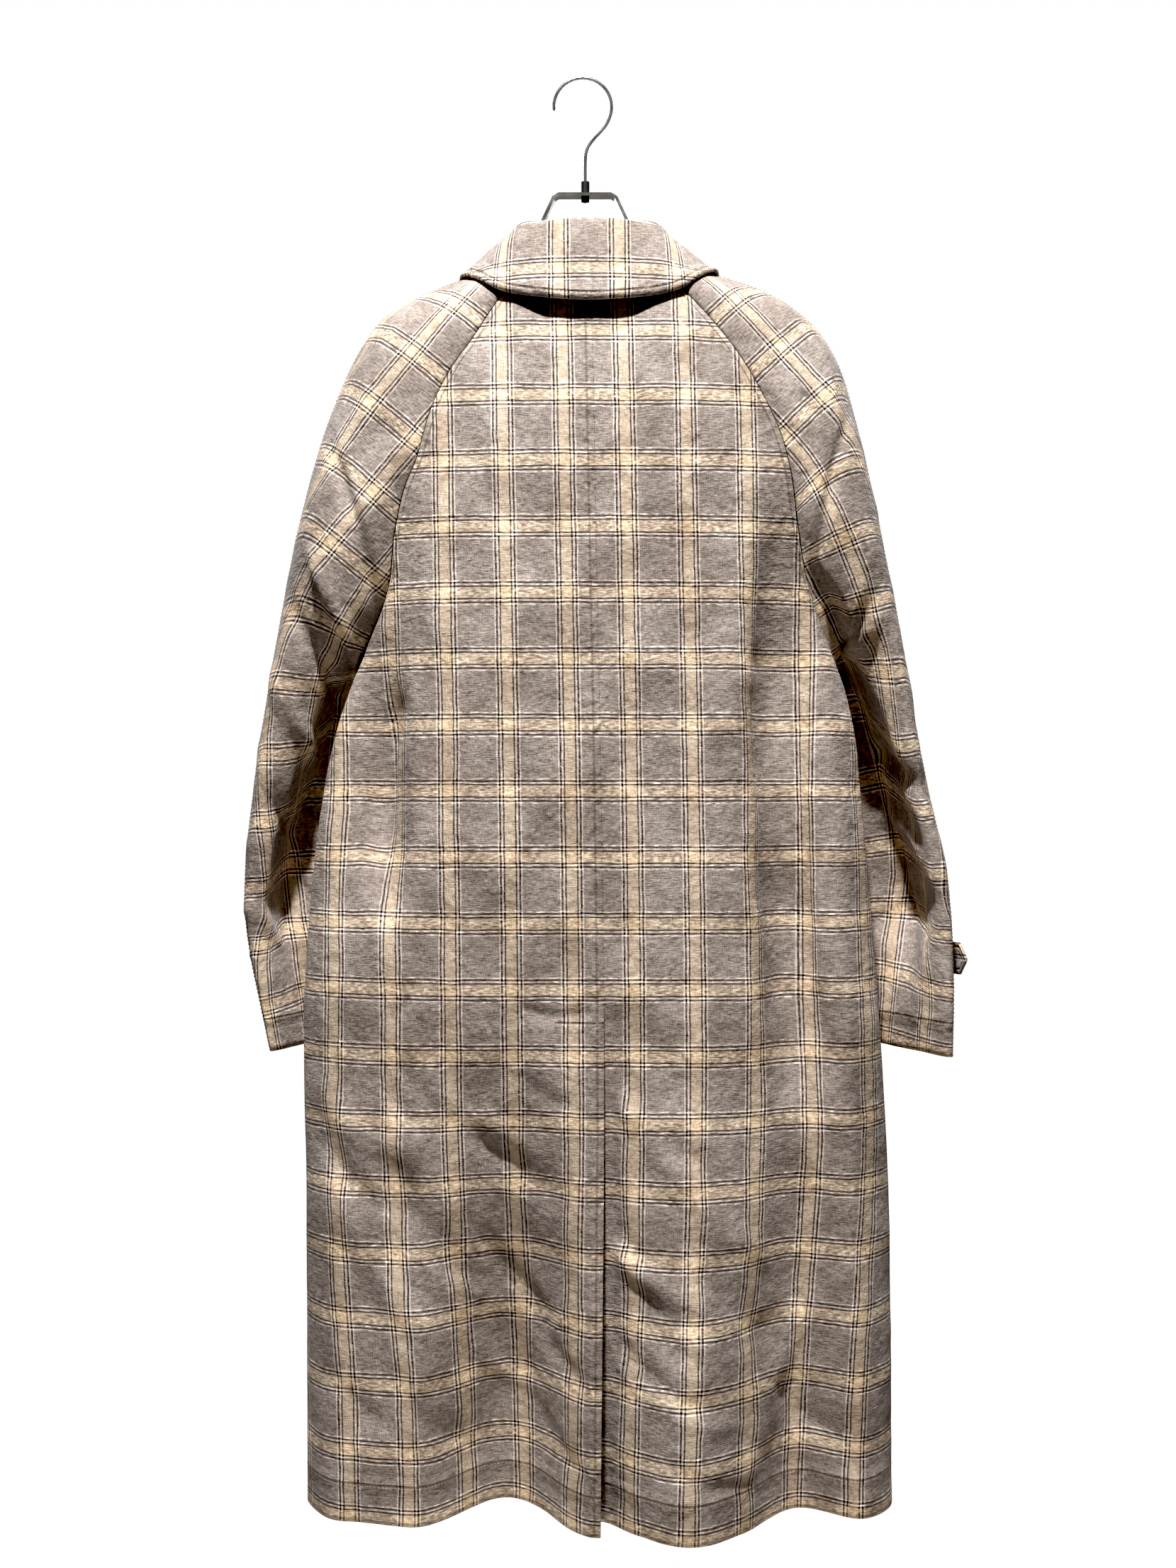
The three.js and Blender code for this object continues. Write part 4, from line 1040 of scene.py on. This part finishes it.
def plain_material(name, color, roughness, grain, relief, scale):
    """Plain cloth, horn or paint: a colour that wanders by a share of itself, with a relief in mm."""
    material, tree, shader = new_material(name)
    place = add_node(tree, "ShaderNodeTexCoord").outputs["Object"]
    share = noise(tree, place, scale, 4.0).outputs[0]
    low = tuple(value * (1 - grain) for value in linear(*color)[:3]) + (1,)
    high = tuple(value * (1 + grain) for value in linear(*color)[:3]) + (1,)
    tree.links.new(ramp(tree, share, ((0.3, low), (0.7, high))), shader.inputs["Base Color"])
    bump = add_node(tree, "ShaderNodeBump", {"Strength": 0.4, "Distance": relief * MM, "Height": share})
    tree.links.new(bump.outputs[0], shader.inputs["Normal"])
    shader.inputs["Roughness"].default_value = roughness
    return material


def chrome_material(name):
    material, tree, shader = new_material(name)
    place = add_node(tree, "ShaderNodeTexCoord").outputs["Object"]
    share = noise(tree, place, 90.0, 3.0).outputs[0]
    tone = ramp(tree, share, ((0.35, linear(196, 190, 184)), (0.7, linear(226, 222, 218))))
    tree.links.new(tone, shader.inputs["Base Color"])
    tree.links.new(ramp(tree, share, CHROME_GLOSS), shader.inputs["Roughness"])
    shader.inputs["Metallic"].default_value = 1.0
    return material


PLAID = plaid_material("plaid_cloth")
LINING = plain_material("reverse_cloth", (62, 60, 62), roughness=0.85, grain=0.18, relief=0.15, scale=1600)
THREAD = plain_material("thread", (126, 112, 92), roughness=0.7, grain=0.2, relief=0.05, scale=4000)
HORN = plain_material("horn", (58, 40, 28), roughness=0.3, grain=0.45, relief=0.05, scale=140)
STEEL = plain_material("black_steel", (30, 30, 32), roughness=0.42, grain=0.2, relief=0.03, scale=900)
FLOOR = plain_material("floor", (240, 238, 234), roughness=0.9, grain=0.01, relief=0.1, scale=3)
CHROME = chrome_material("chrome")
CLOTH_PIECES = {}


def finish_piece(piece, slot, *nodes):
    """Puts a piece on the coat's body and hides the nodes that it stands for. slot, its finish, is not used.
    """
    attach(piece, BODY)
    if nodes:
        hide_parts(*nodes)


def vent_mark(name, points):
    """Height over the vent's closing stitches, and how far inside their length. Only the upper panel."""
    if name != "back_left":
        return np.zeros((*points.shape[:2], 2))
    return np.stack([points[:, :, 2] - VENT_TOP_Z, VENT_WIDTH - run_along(points, 1)], axis=-1)


def cloth_panel(name, points, away, cloth, edges, stitched, hem, relief):
    """A panel's shell on its grid of points. edges are those with rolled seams, and relief is in mm."""
    normals = normals_of(points, away)
    outer = points + normals * (relief - seam_sink(points, edges))[:, :, None]
    maps = {"cloth": cloth, "seams": stitch_map(points, stitched, hem), "marks": vent_mark(name, points)}
    piece = shell_mesh(name, outer, normals, maps, WALL, (PLAID, LINING))
    nodes = [node for node in (name, f"{name}_lower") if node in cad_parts]
    finish_piece(piece, "plaid_cloth", *nodes)
    CLOTH_PIECES[name] = {"grid": points, "points": outer, "normals": normals}


def edge_fade(points, edges, reach):
    """0 along the named edges of a panel and 1 from reach inwards."""
    distance = edge_distances(points)
    fade = np.ones(points.shape[:2])
    for edge in edges:
        fade = fade * smooth(distance[edge] / reach)
    return fade


def make_body_panels():
    for side, sign in SIDES.items():
        for face, outward in OUTWARD.items():
            name = f"{face}_{side}"
            points = body_surface(side, face)
            cloth = body_cloth(side, face, points)
            relief = BODY_STRENGTH * crease_relief(CREASES[name], points[:, :, 0], points[:, :, 2])
            relief += slack(cloth, BODY_SEED + sign + (face == "back") * BACK_SEED_STEP)
            relief *= edge_fade(points, ("last", "top", "first"), BODY_FADE)
            edges = ("last", "top", "first") if face == "back" else ("last", "top")
            stitched = {"first": SEAM_STITCH, "last": SEAM_STITCH}
            if name == "back_right":
                stitched = {"last": SEAM_STITCH}
            cloth_panel(name, points, -sign * outward, cloth, edges, stitched, HEM_STITCH, relief)


def make_sleeves():
    for side, sign in SIDES.items():
        for face, outward in OUTWARD.items():
            name = f"sleeve_{face}_{side}"
            points = sleeve_surface(side, face)
            cloth = sleeve_cloth(side, points)
            run = run_along(points, 1)
            width = np.median(run[:, -1])
            length = run_along(points, 0)[-1, 0]
            full = {"round0": width, "down0": length, "round1": width, "down1": length}
            creases = {column: values * full.get(column, 1)
                       for column, values in SLEEVE_CREASES[name].items()}
            across = run / run[:, -1:] * width
            down = np.repeat(np.linspace(0, 1, len(points))[:, None], points.shape[1], axis=1) * length
            relief = SLEEVE_STRENGTH * crease_relief(creases, across, down)
            relief += slack(cloth, SLEEVE_SEED + sign + (face == "back") * BACK_SEED_STEP)
            edges = ("first", "last", "top")
            relief *= edge_fade(points, edges, SLEEVE_FADE)
            cloth_panel(name, points, sign * outward, cloth, edges, {}, CUFF_STITCH, relief)


def make_vent():
    points = vent_surface()
    cloth = np.stack([-BACK_PHASE + run_along(points, 1), points[:, :, 2] - BAND_Z], axis=-1)
    cloth_panel("vent_underlap", points, -1, cloth, (), {}, HEM_STITCH, np.zeros(points.shape[:2]))


def neckline(side):
    """Points along one side of the neck, from the centre back to the centre front."""
    line = []
    for name, turn in (("back", 1), ("sleeve_back", -1), ("sleeve_front", 1), ("front", -1)):
        line.append(CLOTH_PIECES[f"{name}_{side}"]["grid"][0][::turn])
    return np.concatenate(line)


def coat_tree():
    """The coat's outer points and normals near the neck, to be searched by place."""
    near = []
    for piece in CLOTH_PIECES.values():
        keep = piece["grid"][:, :, 2] > NECK_REACH_Z
        near.append((piece["grid"][keep], piece["normals"][keep]))
    points = np.concatenate([pair[0] for pair in near])
    normals = np.concatenate([pair[1] for pair in near])
    tree = kdtree.KDTree(len(points))
    for i, point in enumerate(points):
        tree.insert(point, i)
    tree.balance()
    return tree, points, normals


def collar_section(side, share, line, tree, points, normals):
    """Points of the collar's cut at a share of the neckline: up its stand, over its turn, down its fall."""
    run = line_run(line)
    base = between(np.array([share * COLLAR_REACH * run[-1]]), run, line)[0]
    base[2] += COLLAR_LIFT
    place = {name: float(read(COLLAR, "at", share, name)) for name in COLLAR}
    middle = np.array([COLLAR_MIDDLE_X, 0, 0])
    fold = middle + (SIDES[side] * place["fold_x"], place["fold_y"], place["fold_z"])
    edge = middle + (SIDES[side] * place["edge_x"], place["edge_y"], place["edge_z"])
    out = unit((edge - base) * np.array([1, 1, 0]))
    up = np.array([0, 0, 1.0])
    section = [base + (fold - base) * t for t in np.linspace(0, STAND_SHARE, STAND_POINTS)]
    for turn in np.radians(np.linspace(TURN_FROM, TURN_TO, TURN_POINTS)):
        section.append(fold + out * COLLAR_TURN * (1 + np.cos(turn)) + up * COLLAR_TURN * (np.sin(turn) - 1))
    shoulder = section[-1]
    swell = (edge + shoulder) / 2 + (out + up) * COLLAR_SWELL
    for t in np.linspace(0, 1, FALL_POINTS + 1)[1:]:
        point = (1 - t) ** 2 * shoulder + 2 * t * (1 - t) * swell + t ** 2 * edge
        _, index, _ = tree.find(point)
        shift = COLLAR_CLEARANCE - float(np.dot(point - points[index], normals[index]))
        if shift > 0:
            point = point + normals[index] * shift
        section.append(point)
    return section


def make_collar():
    tree, points, normals = coat_tree()
    lines = {side: neckline(side) for side in SIDES}
    grid = []
    for station in range(-COLLAR_STATIONS, COLLAR_STATIONS + 1):
        side = "left" if station < 0 else "right"
        share = abs(station) / COLLAR_STATIONS
        grid.append(collar_section(side, share, lines[side], tree, points, normals))
    grid = np.array(grid)
    for _ in range(COLLAR_SMOOTHINGS):
        fall = grid[:, FALL_START:]
        fall[1:-1] = (fall[:-2] + 2 * fall[1:-1] + fall[2:]) / 4
    grid = grid.transpose(1, 0, 2)
    across = run_along(grid, 1)
    across -= across[:, COLLAR_STATIONS:COLLAR_STATIONS + 1]
    run = run_along(grid, 0)
    down = np.empty(run.shape)
    for i in range(grid.shape[1]):
        heights = grid[FALL_START:, i, 2]
        runs = run[FALL_START:, i]
        slope = (heights[-1] - heights[-6]) / (runs[-1] - runs[-6])
        at_band = np.interp(-COLLAR_BAND_Z, -heights, runs)
        if heights[-1] > COLLAR_BAND_Z:
            at_band = runs[-1] + (COLLAR_BAND_Z - heights[-1]) / slope
        down[:, i] = at_band - run[:, i]
    cloth = np.stack([-across - BACK_PHASE, down], axis=-1)
    outward = normals_of(grid, 1)
    middle = (grid.shape[0] - 4, COLLAR_STATIONS)
    if outward[middle][1] < 0:
        outward = -outward
    relief = slack(cloth, COLLAR_SEED) * COLLAR_SLACK
    from_edge = run[-1:] - run
    relief -= COLLAR_GROOVE * np.exp(-((from_edge - COLLAR_STITCH) / COLLAR_GROOVE_WIDTH) ** 2)
    relief -= SEAM_SINK * np.clip(1 - from_edge / SEAM_ROLL, 0, 1) ** 2
    outer = grid + outward * (COLLAR_WALL / 2 + relief)[:, :, None]
    maps = {"cloth": cloth, "seams": lone_stitch(from_edge - COLLAR_STITCH)}
    piece = shell_mesh("collar", outer, outward, maps, COLLAR_WALL, (PLAID, PLAID))
    finish_piece(piece, "plaid_cloth", "collar")
    CLOTH_PIECES["collar"] = {"grid": grid, "points": outer, "normals": outward}


def stitches(name, lines, pitch=3.8, length=2.7, width=0.75, height=0.45):
    """A row of stitches along each line: short spindles of thread that lie on the cloth."""
    verts = []
    faces = []
    for line, normals in lines:
        run = line_run(line)
        for start in np.arange(pitch / 2, run[-1] - length, pitch):
            ends = between(np.array([start, start + length]), run, line)
            normal = unit(between(np.array([start]), run, normals)[0])
            side = np.cross(normal, unit(ends[1] - ends[0]))
            middle = ends.mean(axis=0) + normal * height * THREAD_LIFT
            first = len(verts)
            verts += [*(ends - normal * THREAD_SINK), middle + side * width / 2, middle + normal * height,
                      middle - side * width / 2, middle - normal * height]
            for a, b in ((2, 3), (3, 4), (4, 5), (5, 2)):
                faces += [(first, first + b, first + a), (first + 1, first + a, first + b)]
    piece = add_mesh(name, np.array(verts), faces, (THREAD,))
    finish_piece(piece, "plaid_cloth")


def inset_line(name, edge, inset, stop=None):
    """A line on a piece's outside that runs at a distance from one of its edges, with its normals."""
    points, normals = CLOTH_PIECES[name]["points"], CLOTH_PIECES[name]["normals"]
    if edge == "bottom":
        points, normals = points.transpose(1, 0, 2), normals.transpose(1, 0, 2)
    run = run_along(points, 1)
    if edge != "first":
        run = (run[:, -1:] - run)[:, ::-1]
        points, normals = points[:, ::-1], normals[:, ::-1]
    spots = zip(run[:stop], points[:stop], normals[:stop])
    found = [[between(inset, along, row), between(inset, along, turned)] for along, row, turned in spots]
    return np.array(found).transpose(1, 0, 2)


def make_stitching():
    stitches("collar_stitching", [inset_line("collar", "bottom", COLLAR_STITCH)])
    seams = []
    for side in SIDES:
        upper = int(np.argmin(np.abs(CLOTH_PIECES[f"back_{side}"]["grid"][:, -1, 2] - UNDERARM_Z)))
        seams.append(inset_line(f"back_{side}", "last", SEAM_STITCH, upper))
        seams.append(inset_line(f"front_{side}", "last", SEAM_STITCH, upper))
        seams.append(inset_line(f"sleeve_back_{side}", "first", SEAM_STITCH))
        for face in OUTWARD:
            seams.append(inset_line(f"sleeve_{face}_{side}", "bottom", CUFF_STITCH))
            seams.append(inset_line(f"{face}_{side}", "bottom", HEM_STITCH))
    stitches("seam_stitching", seams)
    closing = [inset_line(name, "first", SEAM_STITCH) for name in ("back_left", "front_left", "front_right")]
    stitches("closing_stitching", closing)


def make_tab(side):
    """The strap's length runs along the grid's rows. Its width narrows to the point at the first of them."""
    name = f"cuff_tab_{side}"
    sleeve = CLOTH_PIECES[f"sleeve_front_{side}"]
    row = int(np.argmin(np.abs(sleeve["grid"][:, 0, 2] - TAB_Z)))
    line = sleeve["points"][row]
    run = line_run(line)
    places = np.linspace(TAB_START[side], TAB_END, TAB_STEPS + 1) * run[-1]
    centre = between(places, run, line)
    centre[:, 0] += SIDES[side] * TAB_REACH[side] * np.linspace(1, 0, TAB_STEPS + 1) ** 4
    down = unit(between(places, run, sleeve["points"][row + 1] - sleeve["points"][row - 1]))
    normal = unit(between(places, run, sleeve["normals"][row]))
    length = places - places[0]
    half = np.minimum(TAB_HEIGHT / 2, TAB_TIP + (TAB_HEIGHT / 2) * length / TAB_POINT)
    width = half[:, None] * np.linspace(-1, 1, TAB_COLUMNS)
    edge = np.minimum(half[:, None] - np.abs(width), length[:, None] + TAB_TIP_EDGE)
    sink = np.clip(1 - edge / TAB_ROLL, 0, 1) ** 2 * TAB_SINK
    grid = centre[:, None] + down[:, None] * width[:, :, None] + normal[:, None] * TAB_LIFT
    grid = grid - normal[:, None] * sink[:, :, None]
    normals = np.repeat(normal[:, None], TAB_COLUMNS, axis=1)
    cloth = np.stack([width, np.repeat(length[:, None], TAB_COLUMNS, axis=1)], axis=-1) + TAB_PLAID
    maps = {"cloth": cloth, "seams": lone_stitch(edge - TAB_STITCH)}
    tab = shell_mesh(name, grid, normals, maps, TAB_WALL, (PLAID, PLAID))
    finish_piece(tab, "plaid_cloth", name)


def make_button(name):
    """A turned button with a rim round a dished middle, sewn on with a cross of thread."""
    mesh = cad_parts[name].data
    points = np.empty(len(mesh.vertices) * 3)
    mesh.vertices.foreach_get("co", points)
    points = points.reshape(-1, 3) / MM
    centre = (points.min(axis=0) + points.max(axis=0)) / 2
    _, _, axes = np.linalg.svd(points - points.mean(axis=0), full_matrices=False)
    normal = -axes[2] if axes[2][1] > 0 else axes[2]
    aside = unit(np.cross(normal, (0, 0, 1.0)))
    up = np.cross(aside, normal)
    offsets = points - centre
    radius = float(np.max(np.abs(offsets @ aside)))
    thick = float(np.ptp(offsets @ normal))
    form = bmesh.new()
    rings = []
    for out, height in zip(BUTTON_RINGS["out"], BUTTON_RINGS["up"]):
        middle = centre + normal * height * thick
        ring = []
        for turn in np.linspace(0, 2 * np.pi, BUTTON_TURNS if out else 1, endpoint=False):
            way = aside * math.cos(turn) + up * math.sin(turn)
            ring.append(form.verts.new((middle + way * out * radius) * MM))
        rings.append(ring)
    for inner, outer in zip(rings[:-1], rings[1:]):
        for i in range(BUTTON_TURNS):
            k = (i + 1) % BUTTON_TURNS
            corners = (inner[i % len(inner)], outer[i % len(outer)],
                       outer[k % len(outer)], inner[k % len(inner)])
            form.faces.new(list(dict.fromkeys(corners)))
    bmesh.ops.recalc_face_normals(form, faces=form.faces[:])
    for face in form.faces:
        face.smooth = True
    made = bpy.data.meshes.new(name)
    form.to_mesh(made)
    form.free()
    made.materials.append(HORN)
    finish_piece(add_object(f"{name}_turned", made), "button", name)
    lines = []
    top = centre + normal * thick * THREAD_UP
    for a, b in ((-1, -1), (-1, 1)):
        way = (aside * a + up * b) * HOLE_OUT * radius
        beside = unit(np.cross(normal, way))
        for shift in (-THREAD_ASIDE, THREAD_ASIDE):
            over = beside * shift
            ends = np.array([top - way + over, top + normal * THREAD_ASIDE + over, top + way + over])
            lines.append((ends, np.array([normal] * 3)))
    return lines


def make_hook():
    """Bent wire, as a round tube along a smooth line, with a rounded first end."""
    turns = np.radians(HOOK_TURNS)
    neck_x, neck_z = zip(*HOOK_NECK)
    x = np.concatenate([HOOK_MIDDLE_X + HOOK_BEND * np.cos(turns), neck_x])
    z = np.concatenate([HOOK_WIRE - HOOK_BEND + HOOK_BEND * np.sin(turns), neck_z])
    chords = np.sqrt(np.hypot(np.diff(x), np.diff(z)))
    marks = {"at": np.concatenate([[0], np.cumsum(chords)]), "x": x, "y": np.zeros(len(x)), "z": z}
    fine = np.linspace(0, marks["at"][-1], HOOK_STEPS)
    line = np.stack([read(marks, "at", fine, axis) for axis in "xyz"], axis=-1)
    side = np.array([0, 1.0, 0])
    out = np.cross(unit(np.gradient(line, axis=0)), side)
    radius = np.full(HOOK_STEPS, HOOK_WIRE)
    radius[:len(HOOK_END)] *= HOOK_END
    around = np.linspace(0, 2 * np.pi, HOOK_SIDES, endpoint=False)[None, :, None]
    rings = line[:, None] + (out[:, None] * np.cos(around) + side * np.sin(around)) * radius[:, None, None]
    at = np.arange(HOOK_STEPS * HOOK_SIDES).reshape(HOOK_STEPS, HOOK_SIDES)
    after = np.roll(at, -1, axis=1)
    faces = np.stack([at[:-1], at[1:], after[1:], after[:-1]], axis=-1).reshape(-1, 4).tolist()
    faces += [at[0].tolist(), at[-1, ::-1].tolist()]
    piece = add_mesh("hook_wire", rings.reshape(-1, 3), faces, (CHROME,))
    finish_piece(piece, "chrome", "hanger_hook")


def make_stage():
    turns = np.linspace(0, 2 * np.pi, FLOOR_SIDES, endpoint=False)
    rim = np.stack([np.cos(turns) * FLOOR_RADIUS, np.sin(turns) * FLOOR_RADIUS,
                    np.full(FLOOR_SIDES, FLOOR_Z)], axis=-1)
    add_mesh("studio_floor", rim, [list(range(FLOOR_SIDES))], (FLOOR,))
    world = bpy.data.worlds.new("studio")
    world.use_nodes = True
    tree = world.node_tree
    path = add_node(tree, "ShaderNodeLightPath")
    light = mixed(tree, path.outputs["Is Glossy Ray"], AMBIENT, GLOSS)
    light = mixed(tree, path.outputs["Is Camera Ray"], light, PLAIN_TONE)
    background = tree.nodes["Background"]
    tree.links.new(light, background.inputs[0])
    background.inputs[1].default_value = 1.0
    bpy.context.scene.world = world


def add_light(name, place, target, size, power):
    data = bpy.data.lights.new(name, "AREA")
    data.shape = "DISK"
    data.size = size
    data.energy = power
    light = add_object(name, data)
    light.location = place
    light.rotation_euler = (Vector(target) - Vector(place)).to_track_quat("-Z", "Y").to_euler()


def add_sun():
    data = bpy.data.lights.new("sun", "SUN")
    data.energy = SUN_STRENGTH
    data.angle = math.radians(SUN_SPREAD)
    light = add_object("sun", data)
    light.rotation_euler = Vector(SUN_TOWARD).to_track_quat("Z", "Y").to_euler()


def make_camera():
    data = bpy.data.cameras.new("camera")
    data.sensor_fit = "VERTICAL"
    data.angle = 2 * math.atan(FRAME_HEIGHT / 2 * MM_A_PIXEL / CAMERA_DISTANCE)
    data.clip_end = CAMERA_REACH
    camera = add_object("camera", data)
    camera.location = (CENTRE_X * MM, CAMERA_DISTANCE * MM, CENTRE_Z * MM)
    camera.rotation_euler = (math.pi / 2, 0, math.pi)
    bpy.context.scene.camera = camera


make_body_panels()
make_sleeves()
make_vent()
make_collar()
make_stitching()
for side in SIDES:
    make_tab(side)
thread_lines = []
for number in range(1, FRONT_BUTTONS + 1):
    thread_lines += make_button(f"front_button_{number}")
for side in SIDES:
    thread_lines += make_button(f"cuff_button_{side}")
stitches("button_thread", thread_lines, pitch=1.1, length=1.3, width=0.5, height=0.4)
make_hook()
for name, material in (("hanger_ferrule", STEEL), ("hanger_frame", CHROME), ("hanger_nut", STEEL)):
    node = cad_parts[name]
    node.data.materials.clear()
    node.data.materials.append(material)

make_camera()
make_stage()
add_sun()
for light in LIGHTS:
    add_light(*light)
view = bpy.context.scene.view_settings
view.view_transform = "Standard"
view.use_curve_mapping = True
view.curve_mapping.black_level = BLACK_LEVEL
view.curve_mapping.update()
